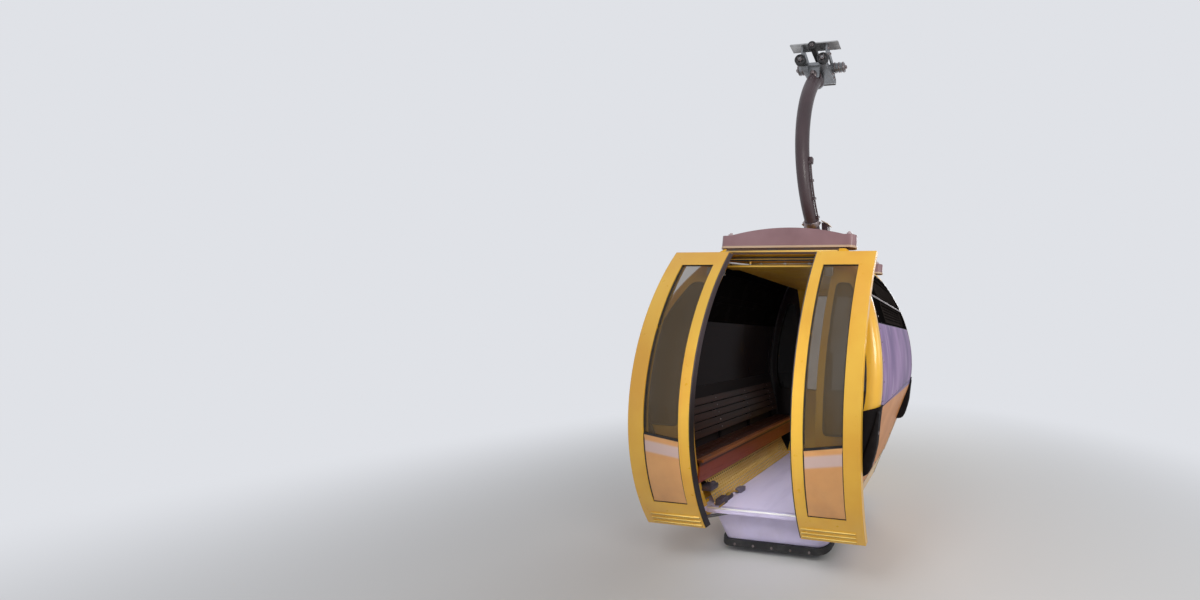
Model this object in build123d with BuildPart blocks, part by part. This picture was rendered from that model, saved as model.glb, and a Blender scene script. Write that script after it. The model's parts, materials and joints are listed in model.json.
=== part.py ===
from build123d import *
from math import asin, cos, pi, radians, sin, sqrt, tan
import os

# Cable car cabin on its hanger and rope grip, millimetres.
# X is the direction of travel, the doorway faces -Y, Z is up.
# The origin lies on the rope's axis in the middle of the grip.
# Sizes named *_up are heights above the foot of the door leaves.

# Heights
leaf_height = 2100.0
roof_clearance = 6.0
roof_rise = 66.0
rope_above_roof = 2078.0
wall_bottom_up = -50.0
floor_up = 75.0
floor_thick = 30.0

# Outer form: both profiles bulge at mid height and draw in to roof and floor
side_bulge = 1010.0
side_bulge_up = 1050.0
side_radius = 2060.0
end_bulge = 950.0
end_bulge_up = 1100.0
roof_half_length = 554.3
end_radius_down = 850.0
end_taper_deg = 20.0
roof_edge_radius = 55.0
corner_radius = 60.0
wall = 40.0
seat_gap = 0.3

# Door leaves and their swing arms
arm_length = 198.0
arm_swing_deg = 146.3
arm_pivot_x = 302.0
arm_pivot_inset = 37.6
arm_half_width = 13.0
arm_thick = 14.0
arm_boss_radius = 18.0
arm_pin_radius = 9.0
pin_clearance = 0.2
pin_stand_out = 2.0
hinge_plate_thick = 12.0
hinge_step = 5.0
top_arm_gap = 6.0
floor_arm_up = 22.0
leaf_width = 482.0
leaf_thick = 45.0
meeting_gap = 6.0
jamb_gap = 12.0
outer_stile = 118.0
inner_stile = 88.0
seal_width = 9.0
seal_face_inset = 3.0
seal_end_inset = 6.0
leaf_top_rail = 120.0
leaf_window_outer_up = 727.0
leaf_window_inner_up = 688.0
leaf_panel_bottom_up = 205.0
leaf_rib_ups = (28.0, 64.0, 100.0)
leaf_rib_height = 10.0
leaf_rib_depth = 6.0
leaf_rib_root = 10.0
leaf_rib_inner_run = 20.0
leaf_rib_outer_run = 60.0
glass_thick = 8.0
glass_inset = 12.0
panel_inset = 6.0
panel_thick = 14.0

# Where the walls split into panels
post_wrap = 75.0
panel_joint = 0.6
skirt_top_up = 165.0
low_panel_top_up = 950.0
jamb_width = 42.0
jamb_depth = 55.0

# Windows beside the doorway and in the rear wall
window_bottom_up = 760.0
window_head = 156.0
window_corner = 35.0
post_window_inner_x = 550.0
post_window_inset = 100.0
post_window_head = 256.0
rear_window_half = 415.0

# Louvre bands high in the end walls, hung from the wall's top edge
louvre_head = 116.0
louvre_high_band = 200.0
louvre_band_gap = 55.0
louvre_low_band = 165.0
louvre_sill = 20.0
louvre_half_length = 540.0
louvre_pitch = 25.0
louvre_rim = 12.0
louvre_slat_thick = 4.0
louvre_slat_depth = 31.0
louvre_tilt_deg = 52.0
louvre_face = 2.0
louvre_back = 6.0

# Corner guards
guard_stand_out = 12.0
guard_side_width = 115.0
guard_end_width = 95.0
guard_bottom_up = 500.0
guard_top_up = 975.0
guard_top_slope = 70.0
guard_slope_run = 260.0

# Header over the doorway, a channel open to the outside
header_rail = 20.0
header_slot = 44.0
header_beam = 42.0
header_rail_stand_out = 37.4
header_beam_inset = 22.6
header_back_inset = 87.6
header_web = 14.0

# Ceiling liner, hung from the roof by two ribs
liner_half_length = 500.0
liner_thick = 12.0
liner_rib_x = 350.0
liner_rib_thick = 12.0

# Rope grip
rope_radius = 27.0
jaw_length = 240.0
jaw_clearance = 0.3
jaw_pin_y = -88.0
jaw_pin_z = 72.0
jaw_pin_radius = 16.0
jaw_hub_radius = 34.0
jaw_side_gap = 2.0
lever_end_y = -330.0
lever_end_z = 104.0
lever_half_width = 26.0
lever_tip_half = 18.0
lever_root_run = 60.0
lever_root_drop = 6.0
lever_root_rise = 4.0
grip_cheek = 16.0
cheek_gap = 3.0
cheek_head = 40.0
cheek_lip = 60.0
cheek_foot_y = -40.0
cheek_foot_drop = 10.0
cheek_window_sill = 26.0
cheek_window_behind_pin = 70.0
cheek_window_edge = 35.0
grip_base_top_z = -34.0
grip_base_bottom_z = -68.0
grip_rear_y = -300.0
spring_radius = 44.0
spring_length = 120.0
swing_pin_y = -215.0
swing_pin_z = -150.0
swing_pin_radius = 30.0
fork_radius = 62.0
eye_radius = 72.0
eye_width = 90.0
fork_gap = 6.0
fork_plate = 20.0
roller_radius = 58.0
roller_width = 32.0
roller_x = 118.0
roller_y = -345.0
roller_z = -40.0
roller_axle_radius = 12.0
axle_end = 8.0
tyre_thick = 14.0
wheel_web = 7.0
tyre_bevel = 4.0
lever_roller_radius = 44.0
lever_roller_width = 28.0
drive_plate_half_length = 260.0
drive_plate_z = 160.0
drive_plate_thick = 12.0
drive_plate_behind = 18.0
drive_plate_before = 78.0

# Hanger arm, a bent tube in the plane across the rope
tube_radius = 66.0
arm_out_y = -440.0
arm_out_z = -850.0
arm_low_turn_deg = 47.6
arm_foot_radius = 709.0
arm_tail_gap = 30.0
arm_web = 16.0
web_front = 40.0
web_end = 60.0
web_top = 20.0
arm_sole = 14.0
arm_sole_inset = 6.0
saddle_half_length = 172.0
saddle_y = 185.0
saddle_half_width = 125.0
gusset_inset = 20.0
gusset_thick = 12.0

# Roof suspension frame
beam_inset = 102.6
beam_overhang = 60.7
beam_width = 110.0
beam_end_height = 98.0
beam_mid_height = 162.0
beam_lift = 32.0
beam_wall = 8.0
cross_half_width = 62.0
cross_height = 95.0
beam_end_radius = 52.0
damper_inset = 84.3
damper_radius = 33.0
damper_pad = 10.0
cap_inset = 6.3
cap_radius = 24.0
cap_height = 22.0
cap_shoulder = 8.0
cap_nut_radius = 12.0
cap_nut_height = 14.0

# Floor pan under the cabin
pan_top_half_length = 545.0
pan_top_half_width = 595.0
pan_draft = 95.0
pan_depth = 285.0
pan_wall = 12.0
pan_corner = 90.0
rim_height = 60.0
rim_stand_out = 22.0
rim_width = 90.0
rim_inner_corner = 60.0
rim_edge = 20.0

# Benches along both end walls
seat_up = 470.0
seat_front_x = 455.0
bench_half_length = 808.0
slat_width = 60.0
slat_thick = 22.0
slat_gap = 9.0
seat_slats = 4
back_slats = 5
back_start_up = 540.0
back_offset = 45.0
bench_bracket_ys = (-700.0, -235.0, 235.0, 700.0)
bench_bracket_thick = 14.0
bracket_front = 34.0
bracket_foot = 120.0
bracket_set_back = 12.0
apron_height = 150.0
apron_thick = 16.0
apron_set_back = 22.0
kick_foot_x = 440.0
kick_head_x = 552.0
kick_head_up = 255.0
kick_half_length = 640.0
kick_thick = 5.0

# Intercom on the door post
intercom_size = (60.0, 34.0, 260.0)
intercom_up = 1060.0

# Values worked out from the ones above
reach = 1300.0
wall_top_up = leaf_height + roof_clearance
roof_up = wall_top_up + roof_rise
rope_above_foot = roof_up + rope_above_roof
end_draw_in = end_bulge - roof_half_length
end_radius_up = (end_draw_in**2 + (roof_up - end_bulge_up) ** 2) / (2 * end_draw_in)
roof_half_width = side_bulge - side_radius + sqrt(side_radius**2 - (roof_up - side_bulge_up) ** 2)
arm_pivot_y = arm_pivot_inset - roof_half_width
header_rail_y = -header_rail_stand_out - roof_half_width
header_beam_y = header_beam_inset - roof_half_width
header_back_y = header_back_inset - roof_half_width
side_taper_deg = asin(side_bulge_up / side_radius) * 180 / pi
window_top_up = wall_top_up - window_head
post_window_top_up = wall_top_up - post_window_head
leaf_window_top_up = leaf_height - leaf_top_rail
header_bottom_up = wall_top_up - header_beam - header_slot - header_rail
liner_up = header_bottom_up + header_rail
top_arm_up = liner_up + top_arm_gap
high_band_up = wall_top_up - louvre_head - louvre_high_band
low_band_up = high_band_up - louvre_band_gap - louvre_low_band
louvre_bands = (
    (low_band_up, low_band_up + louvre_low_band),
    (high_band_up, high_band_up + louvre_high_band),
)
mid_panel_top_up = low_band_up - louvre_sill
beam_y = roof_half_width - beam_inset
arm_tail_y = beam_y - beam_width / 2 - arm_tail_gap
beam_half_length = roof_half_length + beam_overhang
damper_x = roof_half_length - damper_inset
cap_x = roof_half_length - cap_inset
travel_x = arm_length * (1 - cos(radians(arm_swing_deg)))
travel_y = arm_length * sin(radians(arm_swing_deg))
doorway_half = meeting_gap / 2 + leaf_width + jamb_gap


def level(up):
    """Height in the part's frame of a size measured up from the leaves' foot."""
    return up - rope_above_foot


def profile(half, bulge_up, r_up, r_down, taper_deg, inset, corner, top_inset):
    """Closed outline across one pair of walls, its sides set in by inset."""
    zb = level(bulge_up)
    z_top = level(roof_up) - top_inset
    z_bot = level(wall_bottom_up)
    taper = radians(taper_deg)
    ru = r_up - inset
    rd = r_down - inset
    cu = half - r_up
    cd = half - r_down
    x_top = cu + sqrt(ru * ru - (z_top - zb) ** 2)
    rise = asin((z_top - zb) / ru) / 2
    low = (cd + rd * cos(taper), zb - rd * sin(taper))
    low_mid = (cd + rd * cos(taper / 2), zb - rd * sin(taper / 2))
    x_bot = low[0] - (low[1] - z_bot) * tan(taper)
    with BuildSketch() as outline:
        with BuildLine():
            Line((0, z_bot), (x_bot, z_bot))
            Line((x_bot, z_bot), low)
            ThreePointArc(low, low_mid, (half - inset, zb))
            ThreePointArc((half - inset, zb), (cu + ru * cos(rise), zb + ru * sin(rise)), (x_top, z_top))
            Line((x_top, z_top), (0, z_top))
            mirror(about=Plane.YZ)
        make_face()
        if corner > 0:
            fillet(outline.vertices().group_by(Axis.Y)[-1], corner)
    return outline.sketch


def side_outline(inset, corner=0.0, top_inset=None):
    top = inset if top_inset is None else top_inset
    return profile(side_bulge, side_bulge_up, side_radius, side_radius, side_taper_deg, inset, corner, top)


def front_face_y(inset, up):
    """Where the front wall's face, set in by inset, lies at a height."""
    r = side_radius - inset
    return side_radius - side_bulge - sqrt(r * r - (up - side_bulge_up) ** 2)


def end_outline(inset, corner=0.0, top_inset=None):
    top = inset if top_inset is None else top_inset
    radii = (end_radius_up, end_radius_down)
    return profile(end_bulge, end_bulge_up, *radii, end_taper_deg, inset, corner, top)


def side_prism(inset, x0=-reach, x1=reach):
    """The side profile run along X from x0 to x1, open past the roof."""
    with BuildPart() as prism:
        with BuildSketch(Plane(origin=(x0, 0, 0), x_dir=(0, 1, 0), z_dir=(1, 0, 0))):
            add(side_outline(inset, top_inset=-2.0))
        extrude(amount=x1 - x0)
    return prism.part


def end_prism(inset):
    """The end profile run along Y right through the cabin, open past the roof."""
    with BuildPart() as prism:
        with BuildSketch(Plane(origin=(0, reach, 0), x_dir=(1, 0, 0), z_dir=(0, -1, 0))):
            add(end_outline(inset, top_inset=-2.0))
        extrude(amount=2 * reach)
    return prism.part


def form(inset, rounded=False):
    """The cabin's whole form with every face set in by inset."""
    corner = roof_edge_radius - inset if roof_edge_radius > inset else 0.0
    with BuildPart() as body:
        with BuildSketch(Plane(origin=(0, reach, 0), x_dir=(1, 0, 0), z_dir=(0, -1, 0))):
            add(end_outline(inset, corner))
        extrude(amount=2 * reach)
        with BuildSketch(Plane(origin=(-reach, 0, 0), x_dir=(0, 1, 0), z_dir=(1, 0, 0))):
            add(side_outline(inset, corner))
        extrude(amount=2 * reach, mode=Mode.INTERSECT)
        if rounded:
            low_edges = [e for e in body.edges() if e.center().Z < level(leaf_height)]
            rises = [(abs(e.position_at(0).Z - e.position_at(1).Z), e) for e in low_edges]
            fillet([e for rise, e in rises if rise > roof_edge_radius], corner_radius - inset)
    return body.part


def block(x0, x1, y0, y1, z0, z1):
    """A plain box between two corners, for cutting and trimming."""
    return Solid.make_box(x1 - x0, y1 - y0, z1 - z0, Plane(origin=(x0, y0, z0)))


def wedge(points, y0, y1):
    """A polygon drawn in (x, z) run along Y between y0 and y1."""
    outline = Wire.make_polygon([(x, y0, z) for x, z in points])
    return Solid.extrude(Face(outline), Vector(0, y1 - y0, 0))


def lane(points, x0, x1):
    """A polygon drawn in (y, z) run along X between x0 and x1."""
    outline = Wire.make_polygon([(x0, y, z) for y, z in points])
    return Solid.extrude(Face(outline), Vector(x1 - x0, 0, 0))


def rod(radius, start, end):
    """A round bar between two points."""
    axis = Vector(*end) - Vector(*start)
    return Solid.make_cylinder(radius, axis.length, Plane(origin=start, z_dir=axis.normalized()))


def keep(piece, name):
    """Label one finished piece and write it out."""
    piece.part.label = name
    export_step(piece.part, f"parts/{name}.step")


os.makedirs("parts", exist_ok=True)

side_names = {-1: "left", 1: "right"}
face_names = {-1: "front", 1: "rear"}

# The hollow body that the panels are cut from
shell = form(0.0, rounded=True) - form(wall)
core = side_prism(post_wrap)

with BuildPart() as roof:
    add(shell)
    add(block(-reach, reach, -reach, reach, level(wall_top_up), level(roof_up) + 1), mode=Mode.INTERSECT)
keep(roof, "roof")


def post_window(set_in):
    """Opening beside the doorway, its outer side running along the end wall's curve."""
    low = level(window_bottom_up) + set_in
    high = level(post_window_top_up) - set_in
    opening = end_prism(post_window_inset + set_in)
    opening = opening & block(post_window_inner_x + set_in, reach, -reach, reach, low, high)
    levels = opening.edges().filter_by(Axis.Y).group_by(Axis.Z)
    return opening.fillet(window_corner, levels[0] + levels[-1])


window_right = post_window(0.0)
glass_right = post_window(seat_gap)
glass_skin = form(glass_inset) - form(glass_inset + glass_thick)
jamb_skin = form(wall) - form(wall + jamb_depth)

# Corner posts with their side windows, and the door jambs of the front pair
for sx in (-1, 1):
    for sy in (-1, 1):
        opening = window_right if sx > 0 else window_right.mirror(Plane.YZ)
        x_near, x_far = sorted((sx * doorway_half, sx * reach))
        y_near, y_far = sorted((0, sy * reach))
        with BuildPart() as post:
            add(shell)
            add(core, mode=Mode.SUBTRACT)
            add(opening, mode=Mode.SUBTRACT)
            low, high = level(wall_bottom_up), level(wall_top_up) - panel_joint
            add(block(x_near, x_far, y_near, y_far, low, high), mode=Mode.INTERSECT)
            if sy < 0:
                x_jamb, x_edge = sorted((sx * doorway_half, sx * (doorway_half + jamb_width)))
                low, high = level(floor_up) + seat_gap, level(wall_top_up) - panel_joint
                add(jamb_skin & block(x_jamb, x_edge, -reach, header_back_y, low, high))
        keep(post, f"post_{face_names[sy]}_{side_names[sx]}")

with BuildPart() as post_glass:
    for sx in (-1, 1):
        opening = glass_right if sx > 0 else glass_right.mirror(Plane.YZ)
        add(glass_skin & opening)
keep(post_glass, "post_glass")

# Rear wall between the rear posts
with BuildPart() as rear_wall:
    add(shell)
    add(core, mode=Mode.SUBTRACT)
    half = doorway_half - panel_joint
    wall_z = (level(wall_bottom_up), level(wall_top_up) - panel_joint)
    add(block(-half, half, 0, reach, *wall_z), mode=Mode.INTERSECT)
    low, high = level(window_bottom_up), level(window_top_up)
    opening = block(-rear_window_half, rear_window_half, 0, reach, low, high)
    add(opening.fillet(window_corner, opening.edges().filter_by(Axis.Y)), mode=Mode.SUBTRACT)
keep(rear_wall, "rear_wall")

with BuildPart() as rear_glass:
    add(glass_skin)
    half = rear_window_half - seat_gap
    pane = block(-half, half, 0, reach, low + seat_gap, high - seat_gap)
    add(pane.fillet(window_corner, pane.edges().filter_by(Axis.Y)), mode=Mode.INTERSECT)
keep(rear_glass, "rear_glass")

# End walls, four panels one above the other between the posts
end_core = side_prism(post_wrap + panel_joint)
end_panels = (
    ("skirt", wall_bottom_up, skirt_top_up),
    ("low", skirt_top_up, low_panel_top_up),
    ("mid", low_panel_top_up, mid_panel_top_up),
    ("top", mid_panel_top_up, wall_top_up),
)


def louvre_opening(band, set_in):
    """One louvre band's opening, cut across the end wall."""
    low, high = level(band[0]) + set_in, level(band[1]) - set_in
    half = louvre_half_length - set_in
    return block(-reach, reach, -half, half, low, high)


louvre_skin = form(louvre_face) - form(wall - louvre_back)

for sx in (-1, 1):
    x_near, x_far = sorted((0, sx * reach))
    for name, low_up, high_up in end_panels:
        with BuildPart() as panel:
            add(shell)
            add(end_core, mode=Mode.INTERSECT)
            low, high = level(low_up), level(high_up) - panel_joint
            add(block(x_near, x_far, -reach, reach, low, high), mode=Mode.INTERSECT)
            if name == "top":
                for band in louvre_bands:
                    add(louvre_opening(band, 0.0), mode=Mode.SUBTRACT)
        keep(panel, f"end_{name}_{side_names[sx]}")

    with BuildPart() as louvres:
        for band in louvre_bands:
            clear = band[1] - band[0] - 2 * louvre_rim
            count = int(clear // louvre_pitch)
            rim = louvre_skin & louvre_opening(band, seat_gap)
            rim = rim - louvre_opening(band, louvre_rim)
            add(rim & block(x_near, x_far, -reach, reach, level(0), level(roof_up)))
            for i in range(count):
                z = level(band[0]) + louvre_rim + clear * (i + 0.5) / count
                x = end_bulge - end_radius_up
                x += sqrt(end_radius_up**2 - (z - level(end_bulge_up)) ** 2) - wall / 2
                with Locations(Location((sx * x, 0, z), (0, sx * louvre_tilt_deg, 0))):
                    Box(louvre_slat_depth, 2 * louvre_half_length - louvre_rim, louvre_slat_thick)
    keep(louvres, f"end_louvres_{side_names[sx]}")

# Guards over the four corners, with a sloping top
with BuildPart() as guards:
    add(form(-guard_stand_out, rounded=True) - form(-seat_gap, rounded=True))
    add(side_prism(guard_end_width), mode=Mode.SUBTRACT)
    add(end_prism(guard_side_width), mode=Mode.SUBTRACT)
    low, high = level(guard_bottom_up), level(guard_top_up)
    half_band = (
        (end_bulge - guard_slope_run, low),
        (end_bulge - guard_slope_run, high - guard_top_slope),
        (end_bulge, high),
        (reach, high),
        (reach, low),
    )
    right_band = wedge(half_band, -reach, reach)
    add(right_band + right_band.mirror(Plane.YZ), mode=Mode.INTERSECT)
keep(guards, "corner_guards")

# Header channel, floor plate and pan
with BuildPart() as header:
    half = doorway_half - seat_gap
    z0 = level(header_bottom_up)
    z1 = z0 + header_rail
    z2 = z1 + header_slot
    z3 = level(wall_top_up) - seat_gap
    web_y = header_back_y - header_web
    section = (
        (header_back_y, z0),
        (header_rail_y, z0),
        (header_rail_y, z1),
        (web_y, z1),
        (web_y, z2),
        (header_beam_y, z2),
        (header_beam_y, z3),
        (header_back_y, z3),
    )
    add(lane(section, -half, half))
    for sx in (-1, 1):
        x = sx * arm_pivot_x
        add(rod(arm_pin_radius, (x, arm_pivot_y, z1), (x, arm_pivot_y, z2)))
keep(header, "door_header")

with BuildPart() as liner:
    add(form(wall + seat_gap))
    low, high = level(liner_up), level(liner_up) + liner_thick
    y_front = header_back_y + seat_gap
    sheet = block(-liner_half_length, liner_half_length, y_front, reach, low, high)
    for sx in (-1, 1):
        x0 = sx * liner_rib_x - liner_rib_thick / 2
        sheet = sheet + block(x0, x0 + liner_rib_thick, y_front, reach, low, level(roof_up))
    add(sheet, mode=Mode.INTERSECT)
keep(liner, "ceiling_liner")

with BuildPart() as floor_plate:
    add(form(wall + seat_gap))
    z0, z1 = level(floor_up - floor_thick), level(floor_up)
    add(block(-reach, reach, -reach, reach, z0, z1), mode=Mode.INTERSECT)
    edge_y = front_face_y(leaf_thick, floor_up - floor_thick) + 2 * hinge_step
    add(block(-doorway_half - 1, doorway_half + 1, -reach, edge_y, z0 - 1, z1 + 1), mode=Mode.SUBTRACT)
    for sx in (-1, 1):
        x = sx * arm_pivot_x
        add(rod(arm_pin_radius, (x, arm_pivot_y, level(floor_arm_up) - hinge_step), (x, arm_pivot_y, z0)))
keep(floor_plate, "floor_plate")

with BuildPart() as pan:
    z_top = level(floor_up - floor_thick) - seat_gap
    with BuildSketch(Plane.XY.offset(z_top - pan_depth)):
        foot_half = (pan_top_half_length - pan_draft, pan_top_half_width - pan_draft)
        RectangleRounded(2 * foot_half[0], 2 * foot_half[1], pan_corner)
    with BuildSketch(Plane.XY.offset(z_top)):
        RectangleRounded(2 * pan_top_half_length, 2 * pan_top_half_width, pan_corner)
    loft()
    offset(amount=-pan_wall, openings=pan.faces().sort_by(Axis.Z)[-1])
keep(pan, "floor_pan")

with BuildPart() as rim:
    z_low = level(floor_up - floor_thick) - seat_gap - pan_depth - rim_height
    half_length = pan_top_half_length - pan_draft + rim_stand_out
    half_width = pan_top_half_width - pan_draft + rim_stand_out
    with BuildSketch(Plane.XY.offset(z_low)):
        RectangleRounded(2 * half_length, 2 * half_width, pan_corner + rim_stand_out)
        inner = (half_length - rim_width, half_width - rim_width)
        RectangleRounded(2 * inner[0], 2 * inner[1], rim_inner_corner, mode=Mode.SUBTRACT)
    extrude(amount=rim_height - seat_gap)
    fillet(rim.faces().sort_by(Axis.Z)[0].outer_wire().edges(), rim_edge)
keep(rim, "bumper_rim")

# Benches: slats on bracketed frames along both end walls
slat_pitch = slat_width + slat_gap
back_lean = radians(end_taper_deg)
wall_foot = end_bulge - end_radius_down + (end_radius_down - wall) * cos(back_lean)
wall_foot_z = level(end_bulge_up) - (end_radius_down - wall) * sin(back_lean)


def wall_inner_x(z):
    """Inner face of the end wall at a height on its straight lower part."""
    return wall_foot - (wall_foot_z - z) * tan(back_lean)


for sx in (-1, 1):
    seat_z = level(seat_up)
    back_z = level(back_start_up)
    with BuildPart() as bench_slats:
        for i in range(seat_slats):
            x = seat_front_x + slat_width / 2 + i * slat_pitch
            with Locations((sx * x, 0, seat_z - slat_thick / 2)):
                Box(slat_width, 2 * bench_half_length, slat_thick)
        for i in range(back_slats):
            run = slat_width / 2 + i * slat_pitch
            x = wall_inner_x(back_z) - back_offset + run * sin(back_lean)
            z = back_z + run * cos(back_lean)
            with Locations(Location((sx * x, 0, z), (0, sx * end_taper_deg, 0))):
                Box(slat_thick, 2 * bench_half_length, slat_width)
        apron_x = sorted(sx * (seat_front_x + apron_set_back + d) for d in (0, apron_thick))
        apron_top = seat_z - slat_thick
        add(block(*apron_x, -bench_half_length, bench_half_length, apron_top - apron_height, apron_top))
    keep(bench_slats, f"bench_slats_{side_names[sx]}")

    under = seat_z - slat_thick
    lean_x, lean_z = cos(back_lean), -sin(back_lean)
    back_run = back_slats * slat_pitch
    behind = slat_thick / 2
    foot = (wall_inner_x(back_z) - back_offset + behind * lean_x, back_z + behind * lean_z)
    head = (foot[0] + back_run * sin(back_lean), foot[1] + back_run * cos(back_lean))
    nose = seat_front_x + apron_set_back + apron_thick + bracket_set_back
    bracket = (
        (sx * nose, under),
        (sx * nose, under - bracket_front),
        (sx * (wall_inner_x(under - bracket_foot) - seat_gap), under - bracket_foot),
        (sx * (wall_inner_x(wall_foot_z) - seat_gap), wall_foot_z),
        (sx * head[0], head[1]),
        (sx * foot[0], foot[1]),
        (sx * foot[0], under),
    )
    with BuildPart() as bench_frames:
        for y in bench_bracket_ys:
            add(wedge(bracket, y - bench_bracket_thick / 2, y + bench_bracket_thick / 2))
    keep(bench_frames, f"bench_frames_{side_names[sx]}")

    kick_low = level(floor_up) + seat_gap
    kick_section = (
        (sx * kick_foot_x, kick_low),
        (sx * (kick_foot_x + kick_thick), kick_low),
        (sx * (kick_head_x + kick_thick), level(kick_head_up)),
        (sx * kick_head_x, level(kick_head_up)),
    )
    with BuildPart() as kick:
        add(wedge(kick_section, -kick_half_length, kick_half_length))
    keep(kick, f"kick_plate_{side_names[sx]}")

with BuildPart() as intercom:
    x0 = doorway_half + 2
    y_face = front_face_y(wall + jamb_depth, intercom_up + intercom_size[2]) + seat_gap
    size_x, size_y, size_z = intercom_size
    add(block(x0, x0 + size_x, y_face, y_face + size_y, level(intercom_up), level(intercom_up) + size_z))
    fillet(intercom.faces().sort_by(Axis.Y)[-1].edges(), 6)
keep(intercom, "intercom")

# Door leaves, built closed on the +X side and then swung out to rest open
leaf_x0 = meeting_gap / 2
leaf_x1 = leaf_x0 + leaf_width
skin = side_prism(0.0, x0=leaf_x0, x1=leaf_x1) - side_prism(leaf_thick, x0=leaf_x0 - 1, x1=leaf_x1 + 1)
closed_zone = block(leaf_x0, leaf_x1, -reach, 0, level(0), level(leaf_height))
closed_skin = skin & closed_zone


def leaf_opening(set_in, low_up_inner, low_up_outer, high_up_inner, high_up_outer):
    """An opening between the two stiles, its foot and head free to slope."""
    x0 = leaf_x0 + inner_stile + set_in
    x1 = leaf_x1 - outer_stile - set_in
    points = (
        (x0, level(low_up_inner) + set_in),
        (x1, level(low_up_outer) + set_in),
        (x1, level(high_up_outer) - set_in),
        (x0, level(high_up_inner) - set_in),
    )
    return wedge(points, -reach, 0)


def window_opening(set_in):
    low = (leaf_window_inner_up, leaf_window_outer_up)
    return leaf_opening(set_in, *low, leaf_window_top_up, leaf_window_top_up)


def panel_opening(set_in):
    high = (leaf_window_inner_up, leaf_window_outer_up)
    return leaf_opening(set_in, leaf_panel_bottom_up, leaf_panel_bottom_up, *high)


def leaf_layer(outer, inner):
    """A thin curved layer inside the leaf's thickness."""
    layer = side_prism(outer, x0=leaf_x0, x1=leaf_x1) - side_prism(inner, x0=leaf_x0 - 1, x1=leaf_x1 + 1)
    return layer & closed_zone


leaf_glass_layer = leaf_layer(glass_inset, glass_inset + glass_thick)
leaf_panel_layer = leaf_layer(panel_inset, panel_inset + panel_thick)
closed_tip_x = arm_pivot_x - arm_length


def hinge_lug(low_up, high_up, pin_low_up, pin_high_up):
    """Plate and pin that carry the leaf on the tip of one arm."""
    y_wall = front_face_y(leaf_thick / 2, (low_up + high_up) / 2)
    x0, x1 = closed_tip_x - arm_boss_radius, closed_tip_x + arm_boss_radius
    z0, z1 = level(low_up), level(high_up)
    lug = block(x0, x1, y_wall, arm_pivot_y, z0, z1)
    lug = lug + rod(arm_boss_radius, (closed_tip_x, arm_pivot_y, z0), (closed_tip_x, arm_pivot_y, z1))
    return lug + rod(
        arm_pin_radius,
        (closed_tip_x, arm_pivot_y, level(pin_low_up)),
        (closed_tip_x, arm_pivot_y, level(pin_high_up)),
    )


top_lug_low = top_arm_up + arm_thick + hinge_step
floor_lug_high = floor_arm_up - hinge_step
open_shift = Pos(travel_x, travel_y * -1, 0)


def swung(piece, sx):
    """Move a piece of the closed right leaf to its open place, mirrored for the left."""
    moved = open_shift * piece
    return moved if sx > 0 else moved.mirror(Plane.YZ)


with BuildPart() as closed_frame:
    add(closed_skin)
    seal_zone = block(leaf_x0, leaf_x0 + seal_width, -reach, 0, level(-1), level(leaf_height + 1))
    add(seal_zone, mode=Mode.SUBTRACT)
    add(window_opening(0.0), mode=Mode.SUBTRACT)
    add(panel_opening(0.0), mode=Mode.SUBTRACT)
    for up in leaf_rib_ups:
        y = front_face_y(0.0, up)
        x0 = leaf_x0 + inner_stile - leaf_rib_inner_run
        x1 = leaf_x1 - outer_stile + leaf_rib_outer_run
        z0 = level(up) - leaf_rib_height / 2
        add(block(x0, x1, y - leaf_rib_depth, y + leaf_rib_root, z0, z0 + leaf_rib_height))
    top_lug_high = top_lug_low + hinge_plate_thick
    add(hinge_lug(top_lug_low, top_lug_high, top_arm_up - pin_stand_out, top_lug_low + 1))
    floor_lug_low = floor_lug_high - hinge_plate_thick
    floor_pin_high = floor_arm_up + arm_thick + pin_stand_out
    add(hinge_lug(floor_lug_low, floor_lug_high, floor_lug_high - 1, floor_pin_high))

closed_glass = leaf_glass_layer & window_opening(seat_gap)
closed_panel = leaf_panel_layer & panel_opening(seat_gap)
seal_low, seal_high = level(seal_end_inset), level(leaf_height - seal_end_inset)
seal_lane = block(leaf_x0, leaf_x0 + seal_width - pin_clearance, -reach, 0, seal_low, seal_high)
closed_seal = leaf_layer(seal_face_inset, leaf_thick - seal_face_inset) & seal_lane

leaf_pieces = (
    ("frame", closed_frame.part),
    ("glass", closed_glass),
    ("panel", closed_panel),
    ("seal", closed_seal),
)
for sx in (-1, 1):
    for name, piece in leaf_pieces:
        with BuildPart() as leaf_piece:
            add(swung(piece, sx))
        keep(leaf_piece, f"door_{name}_{side_names[sx]}")

# Swing arms, top and floor arm of each leaf
swing = radians(arm_swing_deg)
for sx in (-1, 1):
    root = (sx * arm_pivot_x, arm_pivot_y)
    tip = (sx * (arm_pivot_x - arm_length * cos(swing)), arm_pivot_y - arm_length * sin(swing))
    with BuildPart() as arms:
        for up in (top_arm_up, floor_arm_up):
            with BuildSketch(Plane.XY.offset(level(up))):
                with BuildLine():
                    Line(root, tip)
                trace(line_width=2 * arm_half_width)
                with Locations(root, tip):
                    Circle(arm_boss_radius)
                with Locations(root, tip):
                    Circle(arm_pin_radius + pin_clearance, mode=Mode.SUBTRACT)
            extrude(amount=arm_thick)
    keep(arms, f"door_arms_{side_names[sx]}")

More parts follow.
